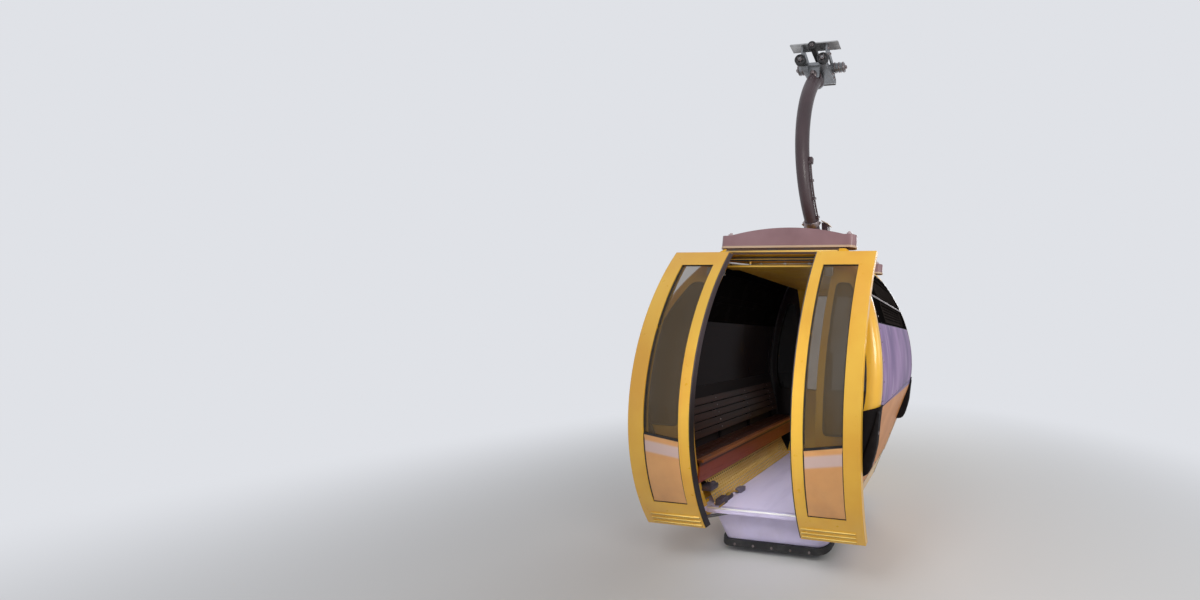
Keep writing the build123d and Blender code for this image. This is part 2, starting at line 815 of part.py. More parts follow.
# Grip frame: fixed jaw, base plate, cheeks, spring tubes, fork and axles
half_jaw = jaw_length / 2
cheek_x = half_jaw + cheek_gap
fork_inner = eye_width / 2 + fork_gap
rope_bar = rod(rope_radius, (-reach, 0, 0), (reach, 0, 0))
with BuildPart() as grip_frame:
    fixed_jaw = (
        (0, grip_base_top_z),
        (0, -rope_radius),
        (-5, 40),
        (-34, 36),
        (-46, 20),
        (-62, grip_base_top_z),
    )
    add(lane(fixed_jaw, -half_jaw, half_jaw))
    add(rope_bar, mode=Mode.SUBTRACT)
    base = (
        (0, grip_base_top_z),
        (0, grip_base_top_z - 6),
        (cheek_foot_y, grip_base_bottom_z),
        (grip_rear_y, grip_base_bottom_z),
        (grip_rear_y, grip_base_top_z),
    )
    add(lane(base, -cheek_x - grip_cheek, cheek_x + grip_cheek))
    cheek = (
        (cheek_foot_y, grip_base_top_z),
        (jaw_pin_y + spring_radius, jaw_pin_z - cheek_foot_drop),
        (jaw_pin_y + cheek_head / 2, jaw_pin_z + cheek_head),
        (jaw_pin_y - cheek_head / 2, jaw_pin_z + cheek_head),
        (grip_rear_y + cheek_lip, drive_plate_z),
        (grip_rear_y, drive_plate_z),
        (grip_rear_y, grip_base_top_z),
    )
    for sx in (-1, 1):
        x0, x1 = sorted((sx * cheek_x, sx * (cheek_x + grip_cheek)))
        add(lane(cheek, x0, x1))
        x_out = cheek_x + grip_cheek + spring_length
        add(rod(spring_radius, (sx * cheek_x, jaw_pin_y, jaw_pin_z), (sx * x_out, jaw_pin_y, jaw_pin_z)))
        axle_y = roller_y - roller_width / 2 - axle_end
        axle_x = sx * roller_x
        add(rod(roller_axle_radius, (axle_x, grip_rear_y, roller_z), (axle_x, axle_y, roller_z)))
    add(rod(jaw_pin_radius, (-cheek_x, jaw_pin_y, jaw_pin_z), (cheek_x, jaw_pin_y, jaw_pin_z)))
    window_low = grip_base_top_z + cheek_window_sill
    window = (
        (jaw_pin_y - cheek_window_behind_pin, window_low),
        (jaw_pin_y - cheek_window_behind_pin, jaw_pin_z - cheek_foot_drop),
        (grip_rear_y + cheek_window_edge, jaw_pin_z + cheek_window_edge),
        (grip_rear_y + cheek_window_edge, window_low),
    )
    add(lane(window, -reach, reach), mode=Mode.SUBTRACT)
    add(rod(jaw_pin_radius, (-cheek_x, jaw_pin_y, jaw_pin_z), (cheek_x, jaw_pin_y, jaw_pin_z)))
    for side in (-1, 1):
        y0, y1 = sorted(swing_pin_y + side * d for d in (fork_inner, fork_inner + fork_plate))
        add(block(-fork_radius, fork_radius, y0, y1, swing_pin_z, grip_base_bottom_z))
        add(rod(fork_radius, (0, y0, swing_pin_z), (0, y1, swing_pin_z)))
    pin_end = fork_inner + fork_plate
    pin_ends = ((0, swing_pin_y - pin_end, swing_pin_z), (0, swing_pin_y + pin_end, swing_pin_z))
    add(rod(swing_pin_radius, *pin_ends))
keep(grip_frame, "grip_frame")

with BuildPart() as drive_plate:
    y0, y1 = grip_rear_y - drive_plate_behind, grip_rear_y + drive_plate_before
    z0 = drive_plate_z + seat_gap
    add(block(-drive_plate_half_length, drive_plate_half_length, y0, y1, z0, z0 + drive_plate_thick))
    chamfer(drive_plate.edges().filter_by(Axis.Y).group_by(Axis.Z)[-1], 10)
keep(drive_plate, "drive_plate")

# Moving jaw and its lever on the jaw pin
lever_x = half_jaw - jaw_side_gap
with BuildPart() as jaw_lever:
    jaw = (
        (jaw_pin_y, jaw_pin_z + jaw_hub_radius),
        (10, 72),
        (46, 52),
        (58, 22),
        (52, -14),
        (34, -30),
        (14, -26),
        (14, 0),
        (8, 40),
        (-30, 48),
        (jaw_pin_y, jaw_pin_z - 10),
    )
    add(lane(jaw, -lever_x, lever_x))
    add(rod(rope_radius + jaw_clearance, (-reach, 0, 0), (reach, 0, 0)), mode=Mode.SUBTRACT)
    add(rod(jaw_hub_radius, (-lever_x, jaw_pin_y, jaw_pin_z), (lever_x, jaw_pin_y, jaw_pin_z)))
    lever = (
        (jaw_pin_y, jaw_pin_z + jaw_hub_radius),
        (lever_end_y, lever_end_z + lever_tip_half),
        (lever_end_y, lever_end_z - lever_tip_half),
        (jaw_pin_y - lever_root_run, jaw_pin_z - lever_root_drop),
        (jaw_pin_y, jaw_pin_z - jaw_hub_radius + lever_root_rise),
    )
    add(lane(lever, -lever_half_width, lever_half_width))
    bore = jaw_pin_radius + pin_clearance
    add(rod(bore, (-reach, jaw_pin_y, jaw_pin_z), (reach, jaw_pin_y, jaw_pin_z)), mode=Mode.SUBTRACT)
    axle_y = lever_end_y - lever_roller_width - 2 * axle_end
    add(rod(roller_axle_radius, (0, lever_end_y, lever_end_z), (0, axle_y, lever_end_z)))
keep(jaw_lever, "jaw_lever")


for name, x, y, z, radius, width in (
    ("running_roller_left", -roller_x, roller_y, roller_z, roller_radius, roller_width),
    ("running_roller_right", roller_x, roller_y, roller_z, roller_radius, roller_width),
    (
        "lever_roller",
        0.0,
        lever_end_y - lever_roller_width / 2 - axle_end,
        lever_end_z,
        lever_roller_radius,
        lever_roller_width,
    ),
):
    with BuildPart() as wheel:
        with BuildSketch(Plane(origin=(x, y, z), x_dir=(1, 0, 0), z_dir=(0, 0, 1))):
            half = width / 2
            bore = roller_axle_radius + pin_clearance
            hub = 2 * roller_axle_radius
            with BuildLine():
                Polyline(
                    (bore, -half),
                    (hub, -half),
                    (hub, -half + wheel_web),
                    (radius - tyre_thick, -half + wheel_web),
                    (radius - tyre_thick, -half),
                    (radius - tyre_bevel, -half),
                    (radius, -half + tyre_bevel),
                    (radius, half - tyre_bevel),
                    (radius - tyre_bevel, half),
                    (radius - tyre_thick, half),
                    (radius - tyre_thick, half - wheel_web),
                    (hub, half - wheel_web),
                    (hub, half),
                    (bore, half),
                    close=True,
                )
            make_face()
        revolve(axis=Axis((x, y, z), (0, 1, 0)))
    keep(wheel, name)

# Hanger arm: eye on the swing pin, bent tube, flat tail on the roof frame
frame_top = level(roof_up) + beam_lift + cross_height + seat_gap * 2
tail_z = frame_top + tube_radius
top_dy = swing_pin_y - arm_out_y
top_dz = swing_pin_z - arm_out_z
top_radius = (top_dy**2 + top_dz**2) / (2 * top_dy)
low_turn = radians(arm_low_turn_deg)
low_z = tail_z + arm_foot_radius * (1 - sin(low_turn))
arm_low_radius = (arm_out_z - low_z) / sin(low_turn)
low_y = arm_out_y + arm_low_radius * (1 - cos(low_turn))
tail_start_y = low_y + arm_foot_radius * cos(low_turn)
half_top = asin(top_dz / top_radius) / 2
top_centre_y = arm_out_y + top_radius
with BuildPart() as hanger:
    with BuildLine(Plane.YZ) as route:
        ThreePointArc(
            (swing_pin_y, swing_pin_z),
            (top_centre_y - top_radius * cos(half_top), arm_out_z + top_radius * sin(half_top)),
            (arm_out_y, arm_out_z),
        )
        ThreePointArc(
            (arm_out_y, arm_out_z),
            (
                arm_out_y + arm_low_radius * (1 - cos(low_turn / 2)),
                arm_out_z - arm_low_radius * sin(low_turn / 2),
            ),
            (low_y, low_z),
        )
        TangentArc((low_y, low_z), (tail_start_y, tail_z), tangent=(sin(low_turn), -cos(low_turn)))
        Line((tail_start_y, tail_z), (arm_tail_y, tail_z))
    with BuildSketch(Plane(origin=(0, swing_pin_y, swing_pin_z), z_dir=route.line % 0)):
        Circle(tube_radius)
    sweep(path=route.line)
    eye_front = (0, swing_pin_y - eye_width / 2, swing_pin_z)
    eye_rear = (0, swing_pin_y + eye_width / 2, swing_pin_z)
    add(rod(eye_radius, eye_front, eye_rear))
    for side, face in ((-1, eye_front), (1, eye_rear)):
        away = (0, face[1] + side * (fork_plate + fork_gap) * 2, swing_pin_z)
        add(rod(eye_radius + fork_gap, face, away), mode=Mode.SUBTRACT)
    add(rod(swing_pin_radius + pin_clearance, eye_front, eye_rear), mode=Mode.SUBTRACT)
    web_foot = frame_top
    web_front_y = low_y + web_front
    web = (
        (web_front_y, low_z - web_end),
        (web_front_y, web_foot),
        (arm_tail_y - web_end, web_foot),
        (arm_tail_y - web_end, tail_z),
        (tail_start_y - web_end, tail_z + web_top),
    )
    add(lane(web, -arm_web / 2, arm_web / 2))
    sole_half = cross_half_width - arm_sole_inset
    sole_top = web_foot + arm_sole
    add(block(-sole_half, sole_half, web_front_y - web_top / 2, arm_tail_y - web_top, web_foot, sole_top))
    saddle_ys = (saddle_y - saddle_half_width, saddle_y + saddle_half_width)
    add(block(-saddle_half_length, saddle_half_length, *saddle_ys, web_foot, sole_top))
    gusset = (
        (-saddle_half_length + gusset_inset, sole_top),
        (saddle_half_length - gusset_inset, sole_top),
        (tube_radius * cos(pi / 4), tail_z + tube_radius * sin(pi / 4)),
        (-tube_radius * cos(pi / 4), tail_z + tube_radius * sin(pi / 4)),
    )
    for side in (-1, 1):
        y = saddle_y + side * (saddle_half_width - gusset_inset)
        add(wedge(gusset, y - gusset_thick / 2, y + gusset_thick / 2))
keep(hanger, "hanger_arm")

# Roof frame: two long covered beams, a cross beam, rubber dampers and their caps
beam_low = level(roof_up) + beam_lift
arch_end = cap_x - cap_radius - cap_shoulder
shoulder_z = beam_low + beam_end_height
for side in (-1, 1):
    with BuildPart() as beam:
        y_out = side * beam_y + beam_width / 2
        with BuildSketch(Plane(origin=(0, y_out, 0), x_dir=(1, 0, 0), z_dir=(0, -1, 0))):
            with BuildLine():
                Polyline(
                    (-arch_end, shoulder_z),
                    (-beam_half_length, shoulder_z),
                    (-beam_half_length, beam_low),
                    (beam_half_length, beam_low),
                    (beam_half_length, shoulder_z),
                    (arch_end, shoulder_z),
                )
                arch_top = (0, beam_low + beam_mid_height)
                ThreePointArc((arch_end, shoulder_z), arch_top, (-arch_end, shoulder_z))
            make_face()
        extrude(amount=beam_width)
        fillet(beam.edges().filter_by(Axis.Z), beam_end_radius)
        offset(amount=-beam_wall, openings=beam.faces().sort_by(Axis.Z)[0])
        pad_y = beam_width / 2 - beam_wall / 2
        for sx in (-1, 1):
            x, y = sx * damper_x, side * beam_y
            pad_x = damper_radius + damper_pad
            add(block(x - pad_x, x + pad_x, y - pad_y, y + pad_y, beam_low, beam_low + beam_wall))
    keep(beam, f"roof_beam_{face_names[side]}")

with BuildPart() as cross:
    y_end = beam_y - beam_width / 2 - seat_gap
    with BuildSketch(Plane.XY.offset(beam_low)):
        Rectangle(2 * cross_half_width, 2 * y_end)
    extrude(amount=cross_height)
keep(cross, "cross_beam")

with BuildPart() as dampers:
    for sx in (-1, 1):
        for sy in (-1, 1):
            x, y = sx * damper_x, sy * beam_y
            z0 = level(roof_up) + seat_gap
            add(rod(damper_radius, (x, y, z0), (x, y, beam_low - seat_gap)))
keep(dampers, "dampers")

with BuildPart() as caps:
    for sx in (-1, 1):
        for sy in (-1, 1):
            x, y = sx * cap_x, sy * beam_y
            z0 = shoulder_z + seat_gap
            z1 = z0 + cap_height
            add(rod(cap_radius, (x, y, z0), (x, y, z1)))
            add(rod(cap_nut_radius, (x, y, z1), (x, y, z1 + cap_nut_height)))
keep(caps, "damper_caps")
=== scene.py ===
"""Looks of the cable car cabin: finishes, seals, fasteners, small fittings, light and camera.

Metres. The origin lies on the rope's axis, X is the direction of travel, the doorway faces -Y.
A name that ends in _up is a height above the door leaves' foot.
"""
import json
from math import asin, cos, pi, radians, sin, sqrt

import bmesh
import bpy
from mathutils import Matrix, Vector


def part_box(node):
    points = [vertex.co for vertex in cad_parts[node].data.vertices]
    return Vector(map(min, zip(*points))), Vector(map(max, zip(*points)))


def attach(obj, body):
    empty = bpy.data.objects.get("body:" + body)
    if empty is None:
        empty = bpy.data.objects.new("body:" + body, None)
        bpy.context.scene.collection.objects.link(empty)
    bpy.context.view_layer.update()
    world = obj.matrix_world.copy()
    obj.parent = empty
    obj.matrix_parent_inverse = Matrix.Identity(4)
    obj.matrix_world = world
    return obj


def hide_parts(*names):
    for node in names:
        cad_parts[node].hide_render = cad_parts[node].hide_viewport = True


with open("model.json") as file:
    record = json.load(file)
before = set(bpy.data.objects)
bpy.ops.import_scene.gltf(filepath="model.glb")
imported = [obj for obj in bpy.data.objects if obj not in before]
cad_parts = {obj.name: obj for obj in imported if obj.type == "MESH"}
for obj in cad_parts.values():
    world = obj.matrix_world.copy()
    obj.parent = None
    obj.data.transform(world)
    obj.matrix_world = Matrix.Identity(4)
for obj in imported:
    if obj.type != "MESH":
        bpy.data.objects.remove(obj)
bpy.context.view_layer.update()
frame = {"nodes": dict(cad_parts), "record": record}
nodes = frame["nodes"]

# Heights and outer form, as in the solids
foot = -4.25
floor_up = 0.075
wall_bottom_up = -0.050
wall_top_up = 2.106
roof_up = 2.172
side_bulge = 1.010
side_bulge_up = 1.050
side_radius = 2.060
end_bulge = 0.950
end_bulge_up = 1.100
roof_half_length = 0.5543
end_draw_in = end_bulge - roof_half_length
end_radius_up = (end_draw_in**2 + (roof_up - end_bulge_up) ** 2) / (2 * end_draw_in)
end_radius_down = 0.850
end_taper = radians(20.0)

# Door leaves
leaf_near = 0.366
leaf_width = 0.482
leaf_forward = 0.110
inner_stile = 0.088
outer_stile = 0.118
leaf_window_top_up = 1.980
leaf_window_outer_up = 0.727
leaf_window_inner_up = 0.688
leaf_panel_bottom_up = 0.205
leaf_rib_ups = (0.028, 0.064, 0.100)
rib_root = 0.010
rib_depth = 0.006
rib_inner_run = 0.024
rib_outer_run = 0.064
leaf_band_ups = (0.560, 0.640)
band_feather = 0.012
sides = {-1: "left", 1: "right"}
wall = 0.040
post_wrap = 0.075
doorway_half = 0.497

# Windows and the lines where the wall's panels meet
window_bottom_up = 0.760
post_window_top_up = 1.850
post_window_inner_x = 0.550
post_window_inset = 0.100
rear_window_half = 0.415
rear_window_top_up = 1.950
window_corner = 0.035
skirt_top_up = 0.165
low_panel_top_up = 0.950
mid_panel_top_up = 1.550
louvre_line_up = 1.7625
guard_low_up = 0.500

# Benches and the perforated strips below them
seat_up = 0.470
seat_front_x = 0.455
slat_width = 0.060
slat_gap = 0.009
slat_thick = 0.022
seat_slats = 4
back_slats = 5
back_start_up = 0.540
back_offset = 0.045
bench_bracket_ys = (-0.700, -0.235, 0.235, 0.700)
kick_foot_x = 0.440
kick_head_x = 0.552
kick_head_up = 0.255
kick_half_length = 0.640

# Hanger, roof frame and grip
beam_low_up = roof_up + 0.032
beam_half_width = 0.055
beam_y = 0.575
beam_half_length = 0.615
beam_round = 0.052
saddle_y = 0.185
saddle_half_length = 0.172
saddle_top_up = roof_up + 0.1416
cross_top_up = beam_low_up + 0.095
jaw_pin = (-0.088, 0.072)
spring_radius = 0.044
cheek_out = 0.139
spring_end = 0.259
swing_pin = (-0.215, -0.150)
fork_out = 0.071
drive_plate_top = 0.172
arm_radius = 0.066
arm_out_y = -0.440
arm_out_z = -0.850
arm_low_radius = 1.1497

# Header over the doorway and the ceiling liner
header_rail_top_up = 2.020
header_slot_top_up = 2.064
header_rail_y = -0.715
header_beam_y = -0.655
header_web_y = -0.604

# How far a fitting's foot goes into what carries it
sunk = 0.001


def linear(red, green, blue):
    """A colour written in 0 to 255 screen values, as the shaders want it."""
    shares = [value / 255 for value in (red, green, blue)]
    return tuple(s / 12.92 if s < 0.043 else ((s + 0.055) / 1.055) ** 2.4 for s in shares)


def spread(start, end, steps):
    """Evenly spaced values from start up to and including end."""
    return [start + (end - start) * i / steps for i in range(steps + 1)]


def front_face_y(up, inset=0.0):
    """Where the closed front wall's face lies at a height."""
    r = side_radius - inset
    return side_radius - side_bulge - sqrt(r * r - (up - side_bulge_up) ** 2)


def end_face_x(up, inset=0.0):
    """Distance of the end wall's face from the middle of the cabin at a height."""
    if up >= end_bulge_up:
        r = end_radius_up - inset
        return end_bulge - end_radius_up + sqrt(r * r - (up - end_bulge_up) ** 2)
    r = end_radius_down - inset
    drop = end_bulge_up - up
    turn = r * sin(end_taper)
    if drop <= turn:
        return end_bulge - end_radius_down + sqrt(r * r - drop * drop)
    return end_bulge - end_radius_down + r * cos(end_taper) - (drop - turn) * sin(end_taper) / cos(end_taper)


class Steps:
    """Shader steps that end in one shader node."""

    def __init__(self, tree, shader):
        self.tree = tree
        self.shader = shader

    def feed(self, socket, value, node=None):
        """Give a socket of a node, else of the shader, a number, a colour or another step's result."""
        target = (self.shader if node is None else node).inputs[socket]
        if isinstance(value, bpy.types.NodeSocket):
            self.tree.links.new(value, target)
        elif target.type == "RGBA":
            target.default_value = (*value, 1.0)
        else:
            target.default_value = value

    def step(self, kind, feeds=None, output=0, **options):
        """Add a node, set its options, feed its sockets and hand back one output."""
        node = self.tree.nodes.new(f"ShaderNode{kind}")
        for key, value in options.items():
            setattr(node, key, value)
        for socket, value in (feeds or {}).items():
            self.feed(socket, value, node)
        return node.outputs[output]

    def place(self, scale=(1.0, 1.0, 1.0), turn=(0.0, 0.0, 0.0)):
        """Object coordinates, stretched and turned."""
        coords = self.step("TexCoord", output="Object")
        return self.step("Mapping", {"Vector": coords, "Scale": scale, "Rotation": turn})

    def axis(self, letter):
        """One object coordinate."""
        return self.step("SeparateXYZ", {0: self.place()}, letter)

    def noise(self, scale, detail=4.0, source=None, rough=0.55):
        feeds = {"Vector": source or self.place(), "Scale": scale, "Detail": detail, "Roughness": rough}
        return self.step("TexNoise", feeds, "Fac")

    def cells(self, scale, source=None):
        return self.step("TexVoronoi", {"Vector": source or self.place(), "Scale": scale}, "Distance")

    def math(self, operation, *values):
        return self.step("Math", dict(enumerate(values)), operation=operation)

    def times(self, *values):
        """All values multiplied together."""
        product = values[0]
        for value in values[1:]:
            product = self.math("MULTIPLY", product, value)
        return product

    def range(self, value, low, high, to_low=0.0, to_high=1.0, smooth=False):
        """A value's way from low to high, as a share or between two other numbers."""
        feeds = {"Value": value, "From Min": low, "From Max": high, "To Min": to_low, "To Max": to_high}
        kind = "SMOOTHSTEP" if smooth else "LINEAR"
        return self.step("MapRange", feeds, "Result", clamp=True, interpolation_type=kind)

    def patches(self, scale, detail, low, high, to_low=0.0, to_high=1.0):
        """Noise stretched between two levels."""
        return self.range(self.noise(scale, detail), low, high, to_low, to_high)

    def height(self, start_up, end_up, smooth=False):
        """Share that grows from 0 at one height to 1 at another."""
        return self.range(self.axis("Z"), foot + start_up, foot + end_up, smooth=smooth)

    def blend(self, share, first, second):
        """Colour between first and second; each is a colour or another step's result."""
        return self.step("Mix", {0: share, 6: first, 7: second}, 2, data_type="RGBA")

    def edge(self, radius):
        """Near 1 along sharp edges, 0 on flat faces."""
        soft = self.step("Bevel", {"Radius": radius}, samples=4)
        flat = self.step("NewGeometry", output="Normal")
        likeness = self.step("VectorMath", {0: soft, 1: flat}, "Value", operation="DOT_PRODUCT")
        return self.range(likeness, 0.98, 0.80)

    def inward(self, centre_up=1.05):
        """1 on faces that look into the cabin, 0 on faces that look out."""
        feeds = {0: self.step("TexCoord", output="Object"), 1: (0.0, 0.0, foot + centre_up)}
        outwards = self.step("VectorMath", feeds, operation="SUBTRACT")
        feeds = {0: outwards, 1: self.step("TexCoord", output="Normal")}
        return self.range(self.step("VectorMath", feeds, "Value", operation="DOT_PRODUCT"), 0.02, -0.02)

    def seen(self):
        """1 for rays that show a surface, straight, mirrored or through glass, else 0."""
        straight, mirrored, through = (
            self.step("LightPath", output=f"Is {kind} Ray") for kind in ("Camera", "Glossy", "Transmission")
        )
        return self.math("MAXIMUM", self.math("MAXIMUM", straight, mirrored), through)


class Finish(Steps):
    """One procedural material on a Principled shader."""

    def __init__(self, name, colour, roughness, rounding=0.0, metallic=0.0, shine=0.5, coat=(0.0, 0.03)):
        self.material = bpy.data.materials.new(name)
        self.material.use_nodes = True
        tree = self.material.node_tree
        super().__init__(tree, tree.nodes["Principled BSDF"])
        self.feed("Base Color", colour)
        self.feed("Roughness", roughness)
        self.feed("Metallic", metallic)
        self.feed("Specular IOR Level", shine)
        self.feed("Coat Weight", coat[0])
        self.feed("Coat Roughness", coat[1])
        self.normal = None
        if rounding:
            self.normal = self.step("Bevel", {"Radius": rounding}, samples=6)
            self.feed("Normal", self.normal)

    def colour(self, source):
        self.feed("Base Color", source)

    def rough(self, source):
        self.feed("Roughness", source)

    def bump(self, height, strength, distance):
        feeds = {"Height": height, "Strength": strength, "Distance": distance}
        if self.normal is not None:
            feeds["Normal"] = self.normal
        self.normal = self.step("Bump", feeds)
        self.feed("Normal", self.normal)


def paint(name, colour, deep, roughness=0.30, coat=0.5, shine=0.5, lined=False):
    """Sprayed metal: slight mottling, orange peel, dust towards the foot, paler worn edges."""
    rounding = 0.004
    f = Finish(name, colour, roughness, rounding, shine=shine, coat=(coat, 0.08))
    mottled = f.blend(f.patches(2.2, 3.0, 0.35, 0.7), colour, deep)
    dusty = f.times(f.height(0.55, -0.05), f.patches(7.0, 6.0, 0.40, 0.75), 0.15)
    soiled = f.blend(dusty, mottled, linear(150, 128, 92))
    chips = f.times(f.edge(rounding * 0.8), f.patches(60.0, 5.0, 0.56, 0.64), 0.5)
    tone = f.blend(chips, soiled, linear(200, 188, 160))
    if lined:
        tone = f.blend(f.inward(), tone, lining)
    f.colour(tone)
    f.rough(f.patches(18.0, 5.0, 0.2, 0.8, roughness * 0.8, roughness * 1.35))
    f.bump(f.noise(260.0, 2.0), 0.10, 0.0006)
    return f


def steel(name, colour, roughness, grain=(1.0, 1.0, 40.0)):
    """Bare or plated metal with a brushed grain, darker grime and bright edges."""
    rounding = 0.003
    f = Finish(name, colour, roughness, rounding, metallic=0.9)
    brushed = f.noise(40.0, 4.0, source=f.place(scale=grain))
    grimy = tuple(c * 0.35 for c in colour)
    body = f.blend(f.times(f.patches(9.0, 7.0, 0.45, 0.72), 0.7), colour, grimy)
    f.colour(f.blend(f.times(f.edge(rounding), 0.5), body, linear(200, 200, 198)))
    f.rough(f.range(brushed, 0.3, 0.7, roughness * 0.75, roughness * 1.3))
    f.bump(brushed, 0.08, 0.0005)
    return f


def plastic(name, colour, roughness, shine=0.05, grain=420.0, depth=0.25):
    """Moulded plastic with a fine leather grain and paler patches."""
    f = Finish(name, colour, roughness, 0.003, shine=shine)
    pale = tuple(min(1.0, c * 1.5 + 0.005) for c in colour)
    f.colour(f.blend(f.patches(11.0, 6.0, 0.5, 0.85), colour, pale))
    f.rough(f.patches(25.0, 4.0, 0.25, 0.75, roughness * 0.85, min(1.0, roughness * 1.2)))
    f.bump(f.cells(grain), depth, 0.0006)
    return f


def rubber(name, colour=(0.012, 0.012, 0.013), roughness=0.62):
    """Matt rubber, a little grey where it has weathered."""
    f = Finish(name, colour, roughness, 0.003)
    f.colour(f.blend(f.patches(14.0, 6.0, 0.48, 0.8), colour, (0.045, 0.043, 0.042)))
    f.bump(f.noise(180.0, 4.0), 0.18, 0.0006)
    return f


def edge_rubber_highlit_finish():
    """Dark rubber of the leaves' closing edges, paler grey higher up as a painted highlight."""
    f = rubber("edge_rubber", linear(84, 74, 78), 0.5)
    # Painted highlight: the rubber goes from dark low down to paler grey higher up.
    f.colour(f.blend(f.height(0.75, 1.35, smooth=True), linear(34, 29, 29), linear(88, 78, 82)))
    return f


def glass(name, tint, alpha, rear_shade_alpha=None):
    """Tinted pane: dark film that lets the far side through, faint smears and dust, and where asked nearly
    opaque panes at the rear as painted shade.
    """
    f = Finish(name, tint, 0.03)
    film = f.patches(3.0, 5.0, 0.3, 0.8, alpha - 0.03, alpha + 0.03)
    # Painted shade: panes at the rear turn nearly opaque, so the cabin's far side looks dark.
    if rear_shade_alpha:
        film = f.math("MAXIMUM", film, f.range(f.axis("Y"), -0.1, 0.1, 0.0, rear_shade_alpha))
    streaks = f.noise(6.0, 6.0, source=f.place(scale=(1.0, 1.0, 0.15)))
    f.colour(f.blend(f.times(f.range(streaks, 0.52, 0.85), 0.5), tint, (0.16, 0.16, 0.15)))
    f.rough(f.range(streaks, 0.45, 0.85, 0.03, 0.16))
    f.feed("Alpha", film)
    return f


def leaf_panel_finish():
    """Tan film on a leaf's lower panel, with one softly edged lilac band along the window's slanted foot."""
    f = Finish("tan_panel", tan, 0.34, 0.003, coat=(0.4, 0.12))
    field = f.blend(f.patches(3.0, 4.0, 0.3, 0.75), tan, linear(212, 150, 90))
    slope = (leaf_window_outer_up - leaf_window_inner_up) / (leaf_width - inner_stile - outer_stile)
    level = f.math("ADD", f.axis("Z"), f.times(f.math("ABSOLUTE", f.axis("X")), -slope))
    low, high = (foot + up - slope * (leaf_near + inner_stile) for up in leaf_band_ups)
    above = f.range(level, low - band_feather, low + band_feather, smooth=True)
    below = f.range(level, high + band_feather, high - band_feather, smooth=True)
    banded = f.blend(f.times(above, below, 0.85), field, linear(208, 184, 182))
    dusty = f.times(f.height(0.6, 0.0), f.patches(8.0, 6.0, 0.4, 0.8), 0.35)
    f.colour(f.blend(dusty, banded, linear(120, 98, 80)))
    f.bump(f.noise(300.0, 2.0), 0.06, 0.0004)
    return f


def film_finish():
    """Purple film with a few broad pale streaks, dark on its inner face."""
    f = Finish("purple_panel", linear(142, 122, 176), 0.42, 0.003, shine=0.2)
    sweep = f.noise(2.3, 1.5, source=f.place(scale=(1.0, 1.6, 0.7), turn=(radians(24), 0.0, 0.0)))
    tone = f.blend(f.range(sweep, 0.35, 0.68), linear(108, 80, 132), linear(154, 120, 170))
    streaks = f.noise(5.0, 1.0, source=f.place(scale=(1.0, 3.2, 0.35), turn=(radians(-32), 0.0, 0.0)))
    tone = f.blend(f.times(f.range(streaks, 0.60, 0.74), 0.55), tone, linear(186, 168, 196))
    inner = f.inward()
    f.colour(f.blend(inner, tone, lining))
    f.rough(f.range(inner, 0.0, 1.0, 0.42, 0.22))
    f.bump(f.noise(300.0, 2.0), 0.05, 0.0004)
    return f


def floor_finish():
    """Light anodised floor with a low diamond tread and scuffs."""
    pale = linear(230, 222, 254)
    f = Finish("floor_metal", pale, 0.40, 0.003)
    scuffs = f.range(f.noise(6.0, 8.0, source=f.place(scale=(1.0, 0.25, 1.0))), 0.5, 0.8)
    f.colour(f.blend(f.times(scuffs, 0.5), pale, linear(188, 178, 216)))
    f.rough(f.patches(12.0, 6.0, 0.3, 0.7, 0.28, 0.5))
    tread = f.cells(46.0, source=f.place(scale=(1.0, 0.6, 1.0), turn=(0.0, 0.0, radians(45))))
    f.bump(f.range(tread, 0.30, 0.18), 0.35, 0.0012)
    return f


def wood_finish():
    """Oiled hardwood, its grain along the slats; the seat's front lighter, partly wear and partly a painted
    highlight; painted shade on the back rest and the apron's top.
    """
    f = Finish("slat_wood", linear(110, 58, 36), 0.38, 0.004, coat=(0.25, 0.2))
    along = f.place(scale=(14.0, 0.7, 14.0))
    rings = f.range(f.noise(2.2, 6.0, source=along, rough=0.62), 0.36, 0.66)
    fine = f.noise(11.0, 5.0, source=along)
    out = f.math("ABSOLUTE", f.axis("X"))
    body = f.blend(rings, linear(92, 50, 34), linear(54, 28, 20))
    # Lighter top of the front slat: partly wear, partly a painted highlight where the light falls.
    front_slat = f.range(out, seat_front_x + slat_width + 0.004, seat_front_x + slat_width - 0.002)
    worn = f.times(f.height(seat_up - 0.006, seat_up - 0.002), front_slat, 0.75)
    body = f.blend(worn, body, linear(168, 98, 54))
    # Paler bare wood along the seat's nose: partly wear, partly a painted highlight.
    bare_and_highlit = f.blend(rings, linear(186, 112, 58), linear(142, 76, 38))
    nose = f.range(out, seat_front_x + 0.022, seat_front_x + 0.008)
    body = f.blend(f.times(nose, f.height(seat_up - 0.030, seat_up - 0.020), 0.6), body, bare_and_highlit)
    # Painted shade: the back rest darkened almost to black.
    back_rest_shade = f.height(back_start_up - 0.03, back_start_up - 0.01)
    body = f.blend(f.times(back_rest_shade, 0.65), body, linear(34, 14, 11))
    apron_up = seat_up - slat_thick
    # Painted shadow across the apron's top, under the seat; plain red-brown wood below it.
    shaded = f.blend(f.height(apron_up - 0.034, apron_up - 0.022), linear(140, 58, 26), linear(62, 28, 18))
    body = f.blend(f.height(apron_up + 0.001, apron_up - 0.001), body, shaded)
    f.colour(f.blend(f.times(f.range(fine, 0.60, 0.74), 0.65), body, linear(46, 22, 16)))
    f.rough(f.range(fine, 0.3, 0.7, 0.30, 0.48))
    f.bump(fine, 0.16, 0.0008)
    return f


